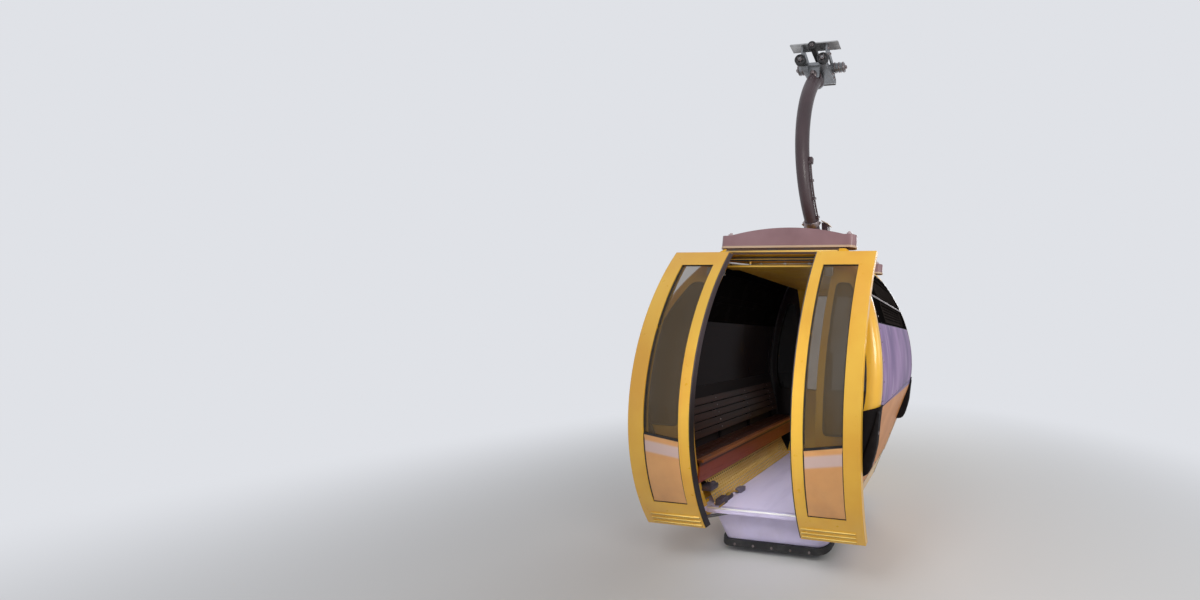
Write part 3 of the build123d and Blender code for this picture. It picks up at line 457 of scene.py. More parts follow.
def end_wall_finish():
    """Lower end panel: tan outside with a purple sliver above, dark inside."""
    f = Finish("end_low", tan, 0.42, 0.003, shine=0.2)
    field = f.blend(f.patches(3.0, 4.0, 0.3, 0.75), linear(222, 152, 88), linear(204, 132, 72))
    level = f.math("ADD", f.axis("Z"), f.times(f.axis("Y"), 0.030))
    tone = f.blend(f.range(level, foot + 0.918, foot + 0.926), field, linear(124, 102, 154))
    f.colour(f.blend(f.inward(), tone, lining))
    f.bump(f.noise(300.0, 2.0), 0.05, 0.0004)
    return f


lining = linear(38, 31, 33)
yellow = linear(240, 188, 62)
yellow_deep = linear(230, 168, 44)
tan = linear(228, 168, 106)
finish_rows = (
    (paint, "yellow_paint", yellow, yellow_deep),
    (paint, "yellow_metal", linear(222, 178, 72), linear(196, 146, 52), 0.38, 0.2),
    (paint, "frame_paint", linear(158, 124, 129), linear(134, 100, 104), 0.42, 0.15),
    (paint, "hanger_paint", linear(72, 55, 59), linear(54, 40, 44), 0.42, 0.15),
    (paint, "roof_paint", yellow, yellow_deep, 0.5, 0.0, 0.12),
    (paint, "rear_post_paint", yellow, yellow_deep, 0.30, 0.5, 0.5, True),
    (paint, "strip_paint", linear(252, 214, 136), linear(236, 192, 108), 0.42, 0.1),
    (paint, "cap_paint", linear(192, 170, 172), linear(168, 146, 148), 0.4, 0.1),
    # Painted highlight of the bead along the roof's edges.
    (paint, "roof_edge_highlight", linear(250, 208, 112), linear(238, 190, 88), 0.4, 0.2),
    # Painted shadow and painted highlight lines for the leaves' ribs.
    (paint, "rib_shade", linear(136, 88, 20), linear(116, 72, 14), 0.5, 0.0, 0.1),
    (paint, "rib_highlight", linear(255, 222, 124), linear(250, 208, 100), 0.4, 0.2),
    (paint, "black_metal", linear(26, 25, 27), linear(17, 16, 18), 0.6, 0.0, 0.05),
    (paint, "pan_metal", linear(224, 215, 246), linear(196, 187, 220), 0.5, 0.0),
    # Pale trim; on the saddle wings the same pale colour is a painted highlight.
    (paint, "pale_trim_and_highlight", linear(214, 190, 164), linear(190, 160, 134), 0.4, 0.1),
    (steel, "grip_steel", linear(150, 152, 155), 0.42),
    (steel, "jaw_steel", linear(112, 110, 110), 0.5, (1.0, 1.0, 1.0)),
    (steel, "cap_steel", linear(140, 128, 128), 0.38),
    (steel, "arm_steel", linear(120, 118, 120), 0.4, (1.0, 40.0, 1.0)),
    (steel, "drive_metal", linear(190, 190, 190), 0.35, (0.4, 30.0, 1.0)),
    (steel, "brass", linear(206, 168, 84), 0.34),
    (rubber, "black_rubber"),
    # Painted shade: the dark strip along the roof's edges.
    (rubber, "roof_edge_shade", linear(74, 48, 34), 0.7),
    (rubber, "roller_tyre", (0.02, 0.02, 0.022), 0.55),
    (plastic, "black_plastic", linear(28, 25, 26), 0.60),
    (plastic, "black_louvre", linear(16, 14, 14), 0.7, 0.0, 700.0, 0.05),
    (plastic, "louvre_blade", linear(44, 39, 37), 0.6, 0.0, 700.0, 0.05),
    (plastic, "grey_gear", linear(104, 98, 112), 0.5, 0.2),
    (plastic, "dark_casting", linear(72, 64, 72), 0.42, 0.4),
    (glass, "tinted_glass", linear(100, 82, 56), 0.42),
    # Corner panes: the last number makes the rear ones nearly opaque, as painted shade.
    (glass, "corner_glass", linear(30, 27, 26), 0.56, 0.95),
    # Painted highlight of the threshold's lip.
    (Finish, "lip_highlight", linear(254, 253, 255), 0.3),
)
finishes = {name: make(name, *values) for make, name, *values in finish_rows}
finishes["edge_rubber"] = edge_rubber_highlit_finish()
finishes["tan_panel"] = leaf_panel_finish()
finishes["purple_panel"] = film_finish()
finishes["floor_metal"] = floor_finish()
finishes["slat_wood"] = wood_finish()
finishes["end_low"] = end_wall_finish()

# The solids' own surfaces: the finish of the record's slot, or a closer one
finish_of = {row["node"]: row["material_slot"] for row in frame["record"]["subparts"]}
finish_of.update(post_glass="corner_glass", roof="roof_paint", damper_caps="cap_paint")
for side in sides.values():
    finish_of[f"end_low_{side}"] = "end_low"
    finish_of[f"door_seal_{side}"] = "edge_rubber"
    finish_of[f"post_rear_{side}"] = "rear_post_paint"
    finish_of[f"end_top_{side}"] = "black_louvre"
    finish_of[f"end_louvres_{side}"] = "louvre_blade"
for name, shape in nodes.items():
    shape.data.materials.clear()
    shape.data.materials.append(finishes[finish_of[name]].material)


def solid(name, data, slot, finish=None, body="cabin", crisp=40.0, turned=False):
    """A finished piece from a bmesh, smooth but for its sharp edges, riding on a body.

    Where turned is set, its faces are first turned to look outwards.
    """
    if turned:
        bmesh.ops.recalc_face_normals(data, faces=data.faces)
    for face in data.faces:
        face.smooth = True
    for line in data.edges:
        if len(line.link_faces) == 2 and line.calc_face_angle(0.0) > radians(crisp):
            line.smooth = False
    mesh = bpy.data.meshes.new(name)
    data.to_mesh(mesh)
    data.free()
    piece = bpy.data.objects.new(name, mesh)
    bpy.context.scene.collection.objects.link(piece)
    mesh.materials.append(finishes[finish or slot].material)
    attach(piece, body)
    return piece


def circle(data, middle, radius, side, up, count, start=0.0):
    """Points round a middle, in the plane of two directions."""
    turns = [2 * pi * (k + start) / count for k in range(count)]
    return [data.verts.new(middle + radius * (cos(a) * side + sin(a) * up)) for a in turns]


def stitch(data, rings, caps=True):
    """Faces between rings of equal count, and over the first and last ring."""
    for near, far in zip(rings, rings[1:]):
        for i in range(len(near)):
            j = (i + 1) % len(near)
            data.faces.new((near[i], near[j], far[j], far[i]))
    if caps:
        data.faces.new(rings[0][::-1])
        data.faces.new(rings[-1])


def tube_along(data, points, radius, count=8, closed=False):
    """A round bead through points."""
    points = [Vector(p) for p in points]
    last = len(points) - 1
    rings = []
    for i, point in enumerate(points):
        before = points[i - 1] if i or closed else point
        after = points[(i + 1) % len(points)] if i < last or closed else point
        along = (after - before).normalized()
        for guide in ((0.0, 0.0, 1.0), (0.0, 1.0, 0.0), (1.0, 0.0, 0.0)):
            side = along.cross(Vector(guide))
            if side.length >= 0.2:
                break
        side.normalize()
        rings.append(circle(data, point, radius, side, side.cross(along), count))
    if closed:
        gaps = [(rings[-1][0].co - v.co).length for v in rings[0]]
        offset = gaps.index(min(gaps))
        rings.append(rings[0][offset:] + rings[0][:offset])
    stitch(data, rings, caps=not closed)


def lathe(data, profile, place, direction, count=20):
    """A turned piece: profile holds (radius, height) pairs, its axis along direction from place.

    A last radius of 0 closes it with a tip.
    """
    turn = Vector((0.0, 0.0, 1.0)).rotation_difference(Vector(direction)).to_matrix()
    side, up = turn @ Vector((1.0, 0.0, 0.0)), turn @ Vector((0.0, 1.0, 0.0))
    rings = []
    for radius, height in profile:
        middle = Vector(place) + turn @ Vector((0.0, 0.0, height))
        if radius:
            rings.append(circle(data, middle, radius, side, up, count, 0.5))
            continue
        tip = data.verts.new(middle)
        for k in range(count):
            data.faces.new((rings[-1][k], rings[-1][(k + 1) % count], tip))
    stitch(data, rings, caps=False)


def screw(data, place, direction, radius=0.0075, count=12):
    """Domed head with a small recess."""
    dome = ((1.0, 0.12), (0.86, 0.34), (0.55, 0.46), (0.34, 0.48), (0.28, 0.22), (0.0, 0.22))
    profile = [(radius, -sunk)] + [(radius * out, radius * height) for out, height in dome]
    lathe(data, profile, place, direction, count)


def bolt(data, place, direction, radius, washer=1.55):
    """Hexagon head on a washer."""
    seat = radius * 0.25
    top = seat + radius * 1.2
    ring = radius * washer
    lathe(data, ((ring, -sunk), (ring, seat), (0.0, seat)), place, direction, 20)
    profile = ((radius, radius * 0.2), (radius, seat + radius * 1.02), (radius * 0.88, top), (0.0, top))
    lathe(data, profile, place, direction, 6)


def soften(points, radius, steps=5):
    """A closed outline with its sharp corners turned into arcs."""
    out = []
    for i, here in enumerate(points):
        back = points[i - 1] - here
        ahead = points[(i + 1) % len(points)] - here
        if pi - back.angle(ahead) < radians(25):
            out.append(here)
            continue
        cut = min(radius, back.length * 0.49, ahead.length * 0.49)
        first = here + back.normalized() * cut
        last = here + ahead.normalized() * cut
        for t in spread(0.0, 1.0, steps):
            out.append((1 - t) ** 2 * first + 2 * t * (1 - t) * here + t * t * last)
    return out


def box(data, xs, ys, zs, bevel=0.002):
    """A block between two values on each axis, in either order, with softened edges."""
    low = Vector([min(pair) for pair in (xs, ys, zs)])
    high = Vector([max(pair) for pair in (xs, ys, zs)])
    size = high - low
    made = bmesh.ops.create_cube(data, size=1.0)["verts"]
    for v in made:
        v.co = Vector([c * s for c, s in zip(v.co, size)]) + (high + low) / 2
    edges = list({e for v in made for e in v.link_edges})
    cut = min(bevel, min(size) * 0.3)
    bmesh.ops.bevel(data, geom=edges, offset=cut, segments=2, profile=0.6, affect="EDGES")


def about(middle, half):
    """The two ends of a span."""
    return middle - half, middle + half


def slab(data, corners, lift):
    """A flat polygon given thickness along its normal."""
    shifts = (Vector(), Vector(lift))
    stitch(data, [[data.verts.new(corner + shift) for corner in corners] for shift in shifts])


def rounded_outline(half_x, half_y, radius, steps=6):
    """Corners of a rounded rectangle in order."""
    points = []
    for k, (cx, cy) in enumerate(((1, 1), (-1, 1), (-1, -1), (1, -1))):
        for share in spread(0.0, 1.0, steps):
            a = pi / 2 * (k + share)
            x = cx * (half_x - radius) + radius * cos(a)
            points.append((x, cy * (half_y - radius) + radius * sin(a)))
    return points


def on_front(x, up, inset=0.0):
    """A point on the front wall's face."""
    return Vector((x, front_face_y(up, inset), foot + up))


def on_rear(x, up, inset=0.0):
    return Vector((x, -front_face_y(up, inset), foot + up))


def on_end(sx, y, up, inset=0.0):
    return Vector((sx * end_face_x(up, inset), y, foot + up))


def end_outward(sx, up):
    """Direction out of the end wall at a height."""
    rise = on_end(sx, 0.0, up + 0.01) - on_end(sx, 0.0, up - 0.01)
    return Vector((sx * rise.z, 0.0, -sx * rise.x))


def leaf_outline(sx, inner, outer, inset, steps, margin=0.003):
    """Closed outline between a leaf's stiles on its curved face, at rest.

    Each of inner and outer holds the lowest and highest height beside that stile.
    """
    near_x = leaf_near + inner_stile + margin
    far_x = leaf_near + leaf_width - outer_stile - margin
    path = []
    for x, start, end in (
        (near_x, inner[0] + margin, inner[1] - margin), (far_x, outer[1] - margin, outer[0] + margin),
    ):
        for up in spread(start, end, steps):
            path.append((sx * x, front_face_y(up, inset) - leaf_forward, foot + up))
    return path


# Seals round the panes and panels of the door leaves, and painted shadow and highlight lines that sharpen
# their ribs
inner_pane = (leaf_window_inner_up, leaf_window_top_up)
outer_pane = (leaf_window_outer_up, leaf_window_top_up)
inner_panel = (leaf_panel_bottom_up, leaf_window_inner_up)
outer_panel = (leaf_panel_bottom_up, leaf_window_outer_up)
rib_xs = (leaf_near + rib_inner_run, leaf_near + leaf_width / 2, leaf_near + leaf_width - rib_outer_run)
for sx, side in sides.items():
    seals = bmesh.new()
    tube_along(seals, leaf_outline(sx, inner_pane, outer_pane, 0.010, 26), 0.0045, closed=True)
    tube_along(seals, leaf_outline(sx, inner_pane, outer_pane, 0.022, 26), 0.0045, closed=True)
    tube_along(seals, leaf_outline(sx, inner_panel, outer_panel, 0.006, 14), 0.004, closed=True)
    solid(f"leaf_seals_{side}", seals, "black_rubber", body=f"leaf_{side}")
    # Painted shadow: a dark line under each rib; painted highlight: a pale line along each rib's crest.
    shades = bmesh.new()
    highlight_lines = bmesh.new()
    for rib_up in leaf_rib_ups:
        for data, up, proud, radius in (
            (shades, rib_up - rib_root / 2 - 0.002, 0.0, 0.0042), (highlight_lines, rib_up, rib_depth - 0.003, 0.005),
        ):
            y = front_face_y(up) - leaf_forward - proud
            tube_along(data, [(sx * x, y, foot + up) for x in rib_xs], radius, 10)
    solid(f"leaf_rib_shades_{side}", shades, "yellow_paint", "rib_shade", f"leaf_{side}")
    solid(f"leaf_rib_highlights_{side}", highlight_lines, "yellow_paint", "rib_highlight", f"leaf_{side}")


# Seals round the fixed windows, on both faces of the wall
def post_window_outline(inset=0.003):
    """Outline of the right post window in x and height."""
    low, high = window_bottom_up + inset, post_window_top_up - inset
    corners = [(post_window_inner_x + inset, up) for up in spread(low, high, 14)]
    corners += [(end_face_x(up, post_window_inset + inset), up) for up in spread(high, low, 14)]
    return soften([Vector((x, up, 0.0)) for x, up in corners], window_corner * 1.4)


rear_corners = [(rear_window_half, up) for up in spread(window_bottom_up, rear_window_top_up, 12)]
rear_corners += [(-rear_window_half, up) for up in spread(rear_window_top_up, window_bottom_up, 12)]
rear_outline = soften([Vector((x, up, 0.0)) for x, up in rear_corners], window_corner)
pane_seal = 0.006
window_seals = bmesh.new()
for depth in (0.004, wall - 0.004):
    for sx in sides:
        for on_wall in (on_front, on_rear):
            outline = [on_wall(sx * p.x, p.y, depth) for p in post_window_outline()]
            tube_along(window_seals, outline, pane_seal, closed=True)
    tube_along(window_seals, [on_rear(p.x, p.y, depth) for p in rear_outline], pane_seal, closed=True)
solid("window_seals", window_seals, "black_rubber")

# Dark joints where the wall's panels meet
joints = bmesh.new()
joint_radius = 0.0028
wall_ups = spread(wall_bottom_up, wall_top_up, 40)
for sx in sides:
    for up in (skirt_top_up, low_panel_top_up, mid_panel_top_up, wall_top_up):
        half = -front_face_y(up, post_wrap)
        tube_along(joints, [on_end(sx, y, up, 0.001) for y in (-half, 0.0, half)], joint_radius)
    for sy in (-1, 1):
        line = [on_end(sx, -sy * front_face_y(up, post_wrap), up, 0.001) for up in wall_ups]
        tube_along(joints, line, joint_radius)
    tube_along(joints, [on_rear(sx * doorway_half, up, 0.001) for up in wall_ups], joint_radius)
solid("panel_joints", joints, "black_rubber")

# Pale trim between the two louvre bands of each end wall
trim = bmesh.new()
for sx in sides:
    half = -front_face_y(louvre_line_up, post_wrap) - 0.01
    low = on_end(sx, -half, louvre_line_up - 0.009)
    high = on_end(sx, half, louvre_line_up + 0.009)
    box(trim, (low.x - sx * 0.012, high.x + sx * 0.006), (-half, half), (low.z, high.z), 0.003)
solid("louvre_trims", trim, "cap_steel")

# Dark sheets behind the louvres that keep their gaps dark, and a raised frame round each band
louvre_bands = ((1.570, 1.735), (1.790, 1.990))
screen_half = 0.537
screen_insets = (0.0335, 0.0360)
frame_half = 0.543
screens = bmesh.new()
louvre_frames = bmesh.new()
screen_corners = [(-screen_half, inset) for inset in screen_insets]
screen_corners += [(screen_half, inset) for inset in reversed(screen_insets)]
for sx in sides:
    for low_up, high_up in louvre_bands:
        rings = []
        for up in spread(low_up + 0.003, high_up - 0.003, 8):
            rings.append([screens.verts.new(on_end(sx, y, up, inset)) for y, inset in screen_corners])
        stitch(screens, rings)
        path = [on_end(sx, -frame_half, up, 0.001) for up in spread(low_up, high_up, 6)]
        path += [on_end(sx, frame_half, up, 0.001) for up in spread(high_up, low_up, 6)]
        tube_along(louvre_frames, path, 0.0045, closed=True)
solid("louvre_screens", screens, "black_louvre", turned=True)
solid("louvre_frames", louvre_frames, "black_louvre", "louvre_blade")

# Pale beads down the end walls' edges below the waist
beads = bmesh.new()
for sx in sides:
    for sy in (-1, 1):
        line = []
        for up in spread(skirt_top_up, guard_low_up, 10):
            line.append(on_end(sx, -sy * front_face_y(up, post_wrap - 0.006), up, -0.001))
        tube_along(beads, line, 0.010)
solid("edge_beads", beads, "yellow_paint", "pale_trim_and_highlight")

# Black fenders over the lower corner guards, upright where the wall draws in: height and reach of each row
fender_rows = (
    (0.497, 0.818), (0.502, 0.846), (0.515, 0.866), (0.540, 0.881), (0.580, 0.894), (0.640, 0.912),
    (0.710, 0.928), (0.790, 0.935), (0.870, 0.941), (0.925, 0.947), (0.944, 0.940),
)
fender_width = 0.096
fender_front = 0.011
fender_round = 0.020
fenders = bmesh.new()
for sx in sides:
    for sy in (-1, 1):
        rings = []
        for up, out_x in fender_rows:
            half_depth = -front_face_y(up)
            in_x = end_face_x(up) - 0.004
            rear_y, front_y = half_depth - fender_width, half_depth + fender_front
            corners = ((in_x, rear_y), (out_x, rear_y), (out_x, front_y), (in_x, front_y))
            outline = soften([Vector((x, y, 0.0)) for x, y in corners], fender_round, 4)
            rings.append([fenders.verts.new((sx * p.x, sy * p.y, foot + up)) for p in outline])
        stitch(fenders, rings)
solid("corner_fenders", fenders, "black_plastic", crisp=50.0, turned=True)

# Perforated strips below the benches
strip_pitch = 0.024
strip_hole = 0.0075
strip_thick = 0.004
hole_sides = 8


def perforated(data, corner, along, up, thick, columns, rows):
    """A sheet with a round hole in every square cell, open right through."""
    normal = along.cross(up).normalized()

    def spot(i, j, lift):
        return corner + along * (i * strip_pitch) + up * (j * strip_pitch) + normal * lift

    grid = {}
    for i in range(columns + 1):
        for j in range(rows + 1):
            grid[i, j] = [data.verts.new(spot(i, j, lift)) for lift in (0.0, thick)]
    for i in range(columns):
        for j in range(rows):
            rings = []
            for level, lift in enumerate((0.0, thick)):
                ring = circle(data, spot(i + 0.5, j + 0.5, lift), strip_hole, along, up, hole_sides, 4.5)
                rings.append(ring)
                corners = [grid[i + a, j + b][level] for a, b in ((0, 0), (1, 0), (1, 1), (0, 1))]
                for q in range(4):
                    a0, a1, a2 = ring[2 * q], ring[2 * q + 1], ring[(2 * q + 2) % hole_sides]
                    for face in ((corners[q], a1, a0), (corners[q], corners[(q + 1) % 4], a2, a1)):
                        data.faces.new(face[::-1] if level else face)
            stitch(data, rings, caps=False)
    rims = [(grid[i, j], grid[i, j + 1]) for j in range(rows) for i in (0, columns)]
    rims += [(grid[i, j], grid[i + 1, j]) for i in range(columns) for j in (0, rows)]
    for first, second in rims:
        data.faces.new((first[0], second[0], second[1], first[1]))


for sx, side in sides.items():
    strip_foot = Vector((sx * kick_foot_x, 0.0, foot + floor_up))
    rise = Vector((sx * (kick_head_x - kick_foot_x), 0.0, kick_head_up - floor_up))
    up = rise.normalized()
    rows = int(rise.length / strip_pitch)
    columns = int(2 * kick_half_length / strip_pitch)
    start = strip_foot + Vector((0.0, -columns * strip_pitch / 2, 0.0)) + up * 0.012
    strip = bmesh.new()
    perforated(strip, start, Vector((0.0, 1.0, 0.0)), up, strip_thick * -sx, columns, rows)
    for share, radius in ((0.045, 0.009), (0.985, 0.005)):
        middle = strip_foot + rise * share
        ends = [middle + Vector((0.0, y, 0.0)) for y in (-kick_half_length, 0.0, kick_half_length)]
        tube_along(strip, ends, radius)
    piece = solid(f"floor_strip_{side}", strip, "yellow_metal", "strip_paint", crisp=30.0, turned=True)
    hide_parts(f"kick_plate_{side}")

# Threshold along the doorway: a grooved nosing, a cover on its face and a lip whose near-white colour is a
# painted highlight
floor_z = foot + floor_up
front_edge_y = front_face_y(floor_up - 0.030, 0.045) + 0.010
nosing = bmesh.new()
nosing_ys = (front_edge_y - 0.004, front_edge_y + 0.030)
box(nosing, about(0.0, 0.470), nosing_ys, (floor_z - 0.026, floor_z + 0.004), 0.003)
for i in range(3):
    y = front_edge_y + 0.010 + i * 0.007
    tube_along(nosing, [(x, y, floor_z + 0.004) for x in (-0.465, 0.0, 0.465)], 0.0014, 6)
solid("threshold", nosing, "floor_metal")
edge_cover = bmesh.new()
cover_ys = (front_edge_y - 0.006, front_edge_y + sunk)
box(edge_cover, about(0.0, 0.471), cover_ys, (floor_z - 0.034, floor_z - 0.007), 0.001)
solid("threshold_cover", edge_cover, "pan_metal")
# Painted highlight: a near-white bead along the threshold's front edge.
lip = bmesh.new()
tube_along(lip, [(x, front_edge_y - 0.004, floor_z) for x in (-0.468, 0.0, 0.468)], 0.0065, 12)
solid("threshold_lip", lip, "drive_metal", "lip_highlight")

# Door gear on the floor beside each leaf: a ribbed motor, a crank with its lever and a locking block
motor = (0.402, -0.620, 0.030, 0.040, 0.052)
crank = (0.408, -0.530, 0.024, 0.036, 0.034)
lock_x = 0.392
lock_top = floor_z + 0.036
lever_points = (
    (0.408, -0.530, 0.040), (0.396, -0.495, 0.046), (0.388, -0.460, 0.034), (0.392, -0.425, 0.018),
)
pin_points = ((0.372, -0.690, 0.010), (0.372, -0.660, 0.012), (0.374, -0.625, 0.016))
jamb_casting_z = foot + 0.235
crank_boss = ((0.017, -sunk), (0.017, 0.008), (0.012, 0.012), (0.007, 0.013), (0.007, 0.019), (0.0, 0.019))
jamb_boss = ((0.022, -sunk), (0.022, 0.012), (0.018, 0.016), (0.010, 0.016), (0.010, 0.022), (0.0, 0.022))
gear = bmesh.new()
castings = bmesh.new()
locks = bmesh.new()
levers = bmesh.new()
for sx in sides:
    for x, y, half_x, half_y, tall in (motor, crank):
        box(gear, about(sx * x, half_x), about(y, half_y), (floor_z - sunk, floor_z + tall), 0.006)
    for i in range(4):
        y = -0.650 + i * 0.016
        box(gear, about(sx * motor[0], 0.024), (y, y + 0.007), (floor_z + 0.050, floor_z + 0.058))
    box(locks, about(sx * lock_x, 0.030), (-0.415, -0.350), (floor_z - sunk, lock_top), 0.005)
    box(locks, about(sx * lock_x, 0.018), (-0.430, -0.414), (floor_z + 0.010, floor_z + 0.026), 0.003)
    for y in (-0.400, -0.365):
        screw(locks, (sx * 0.378, y, lock_top), (0, 0, 1), 0.006)
    tube_along(levers, [(sx * x, y, floor_z + z) for x, y, z in lever_points], 0.0075, 12)
    lathe(levers, crank_boss, (sx * crank[0], crank[1], floor_z + 0.033), (0, 0, 1), 24)
    tube_along(levers, [(sx * x, y, floor_z + z) for x, y, z in pin_points], 0.0065, 12)
    box(castings, (sx * 0.415, sx * 0.515), (-0.742, -0.655), about(jamb_casting_z, 0.020), 0.016)
    lathe(castings, jamb_boss, (sx * 0.445, -0.690, jamb_casting_z + 0.018), (0, 0, 1), 24)
solid("jamb_castings", castings, "black_plastic", "dark_casting")
solid("door_gear", gear, "black_plastic", "dark_casting")
solid("door_locks", locks, "black_plastic", "grey_gear")
solid("door_levers", levers, "yellow_metal", "brass")

# Along the roof's front and rear edges: a dark strip as painted shade, and a pale bead whose lighter colour
# is a painted highlight
shade_strips = bmesh.new()
highlight_beads = bmesh.new()
roof_edge_half = 0.500
shade_strip_low_up, shade_strip_high_up = 2.107, 2.168
shade_strip_section = (
    (shade_strip_low_up, 0.001), (shade_strip_low_up, -0.003), (shade_strip_high_up, -0.003), (shade_strip_high_up, 0.001),
)
highlight_bead_up = 2.135
for on_wall in (on_front, on_rear):
    rings = []
    for x in spread(-roof_edge_half, roof_edge_half, 2):
        rings.append([shade_strips.verts.new(on_wall(x, up, inset)) for up, inset in shade_strip_section])
    stitch(shade_strips, rings)
    line = [on_wall(x, highlight_bead_up, -0.001) for x in spread(0.006 - roof_edge_half, roof_edge_half - 0.006, 2)]
    tube_along(highlight_beads, line, 0.0095, 12)
# Painted shade along the roof's edges.
solid("roof_edge_shade_strips", shade_strips, "black_rubber", "roof_edge_shade", turned=True)
# The bead's paler colour is a painted highlight.
solid("roof_edge_highlight_beads", highlight_beads, "yellow_paint", "roof_edge_highlight")

# Stiffening ribs on the roof
ribs = bmesh.new()
rib_half = 0.016
for x in (-0.440, -0.300, -0.200, 0.200, 0.300, 0.440):
    rings = []
    for lift, shrink in ((-sunk, 0.0), (0.004, 0.002), (0.006, 0.006)):
        ring = []
        for px, py in rounded_outline(rib_half, 0.470, 0.0155):
            y = py - shrink * (1 if py > 0 else -1)
            ring.append(ribs.verts.new((x + px * (1 - shrink / rib_half), y, foot + roof_up + lift)))
        rings.append(ring)
    stitch(ribs, rings, caps=False)
    ribs.faces.new(rings[-1])
solid("roof_ribs", ribs, "yellow_paint", "roof_paint")

# Screws along the end panels, the rear panel, the fenders and the bumper rim
panel_screws = bmesh.new()
screw_inset = 0.122
panel_ups = (
    0.000, 0.110, 0.220, 0.340, 0.460, 0.640, 0.780, 0.905, 0.995,
    1.130, 1.270, 1.410, 1.510, 1.600, 1.760, 1.920, 2.060,
)
for sx in sides:
    for up in panel_ups:
        for sy in (-1, 1):
            screw(panel_screws, on_end(sx, -sy * front_face_y(up, screw_inset), up), end_outward(sx, up))
    for y in spread(-0.450, 0.450, 4):
        for up in (skirt_top_up + 0.024, low_panel_top_up + 0.024, wall_top_up - 0.024):
            screw(panel_screws, on_end(sx, y, up), end_outward(sx, up))
    for up in spread(0.050, 2.050, 10):
        rise = on_rear(0.0, up + 0.01) - on_rear(0.0, up - 0.01)
        screw(panel_screws, on_rear(sx * (doorway_half - 0.024), up), (0.0, rise.z, -rise.y))
    for sy in (-1, 1):
        for up, out_x in (fender_rows[4], fender_rows[7]):
            y = sy * (-front_face_y(up) - fender_width / 2 + fender_front / 2)
            screw(panel_screws, (sx * (out_x - sunk), y, foot + up), (sx, 0, -0.2), 0.011, 14)
solid("panel_screws", panel_screws, "cap_steel")

rim_bolts = bmesh.new()
rim_z = foot - 0.272
rim_half_x, rim_half_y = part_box("bumper_rim")[1][0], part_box("bumper_rim")[1][1]
for sign in (-1, 1):
    for y in spread(-0.360, 0.360, 4):
        screw(rim_bolts, (sign * rim_half_x, y, rim_z), (sign, 0, 0), 0.010, 14)
    for x in spread(-0.320, 0.320, 4):
        screw(rim_bolts, (x, sign * rim_half_y, rim_z), (0, sign, 0), 0.010, 14)
solid("rim_bolts", rim_bolts, "cap_steel")

# The intercom's loudspeaker bars, call button and small lamp, on its inner face
intercom_low, intercom_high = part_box("intercom")
talk = bmesh.new()
face_y = intercom_high[1]
middle_x = (intercom_low[0] + intercom_high[0]) / 2
for i in range(7):
    z = intercom_high[2] - 0.045 - i * 0.012
    box(talk, about(middle_x, 0.018), (face_y - sunk, face_y + 0.002), about(z, 0.0028), 0.001)
button = ((0.013, -sunk), (0.013, 0.003), (0.011, 0.0045), (0.009, 0.0045), (0.009, 0.003), (0.0, 0.0035))
lathe(talk, button, (middle_x, face_y, intercom_low[2] + 0.070), (0, 1, 0), 24)
screw(talk, (middle_x, face_y, intercom_low[2] + 0.030), (0, 1, 0), 0.004)
solid("intercom_face", talk, "black_plastic", "grey_gear")

# Drive rod and seal strips of the header
rod = bmesh.new()
rod_z = foot + header_slot_top_up - 0.012
tube_along(rod, [(x, header_web_y - 0.0065, rod_z) for x in (-0.480, 0.0, 0.480)], 0.005, 12)
for x in spread(-0.44, 0.44, 4):
    box(rod, about(x, 0.012), (header_web_y - 0.0125, header_web_y), about(rod_z, 0.008))
solid("door_drive_rod", rod, "drive_metal")

strips = bmesh.new()
slot_z = foot + header_slot_top_up
rail_z = foot + header_rail_top_up
wall_top_z = foot + wall_top_up
beam_back_y = header_beam_y + sunk
for half, ys, zs, bevel in (
    (0.490, (header_beam_y - 0.004, beam_back_y), (slot_z, slot_z + 0.014), 0.001),
    (0.490, (header_rail_y - 0.0006, header_rail_y + 0.004), (rail_z - 0.006, rail_z - 0.001), 0.0003),
    (0.492, (header_beam_y - 0.003, beam_back_y), (wall_top_z - 0.020, wall_top_z - 0.006), 0.001),
):
    box(strips, about(0.0, half), ys, zs, bevel)
solid("header_seals", strips, "black_rubber")

# Hanger castings inside the leaves, below their top arms
casting_near, casting_far = 0.374, 0.524
casting_low_up, casting_high_up = 1.898, 1.968
back_y = front_face_y(1.930, 0.045) - leaf_forward
for sx, side in sides.items():
    casting = bmesh.new()
    box(casting, (sx * casting_near, sx * casting_far), (back_y - 0.004, back_y + 0.014),
        (foot + casting_low_up, foot + casting_high_up), 0.004)
    for i in range(3):
        z = foot + casting_low_up + 0.012 + i * 0.023
        box(casting, (sx * (casting_near + 0.01), sx * (casting_far - 0.02)),
            (back_y + 0.010, back_y + 0.040 - i * 0.004), about(z, 0.005), 0.003)
    for x in (casting_near + 0.018, casting_far - 0.010):
        bolt(casting, (sx * x, back_y + 0.014, foot + 1.933), (0, 1, 0), 0.008)
    solid(f"leaf_casting_{side}", casting, "arm_steel", "drive_metal", f"leaf_{side}")

# Screws in the benches
screws = bmesh.new()
slat_step = slat_width + slat_gap
back_start_x = end_face_x(back_start_up, wall) - back_offset
for sx in sides:
    for y in bench_bracket_ys:
        for i in range(seat_slats):
            x = seat_front_x + slat_width / 2 + i * slat_step
            screw(screws, (sx * x, y, foot + seat_up), (0, 0, 1))
        for i in range(back_slats):
            run = slat_width / 2 + i * slat_step
            x = back_start_x + run * sin(end_taper) - slat_thick / 2 * cos(end_taper)
            up = back_start_up + run * cos(end_taper) + slat_thick / 2 * sin(end_taper)
            screw(screws, (sx * x, y, foot + up), (-sx * cos(end_taper), 0, sin(end_taper)))
solid("bench_screws", screws, "cap_steel")

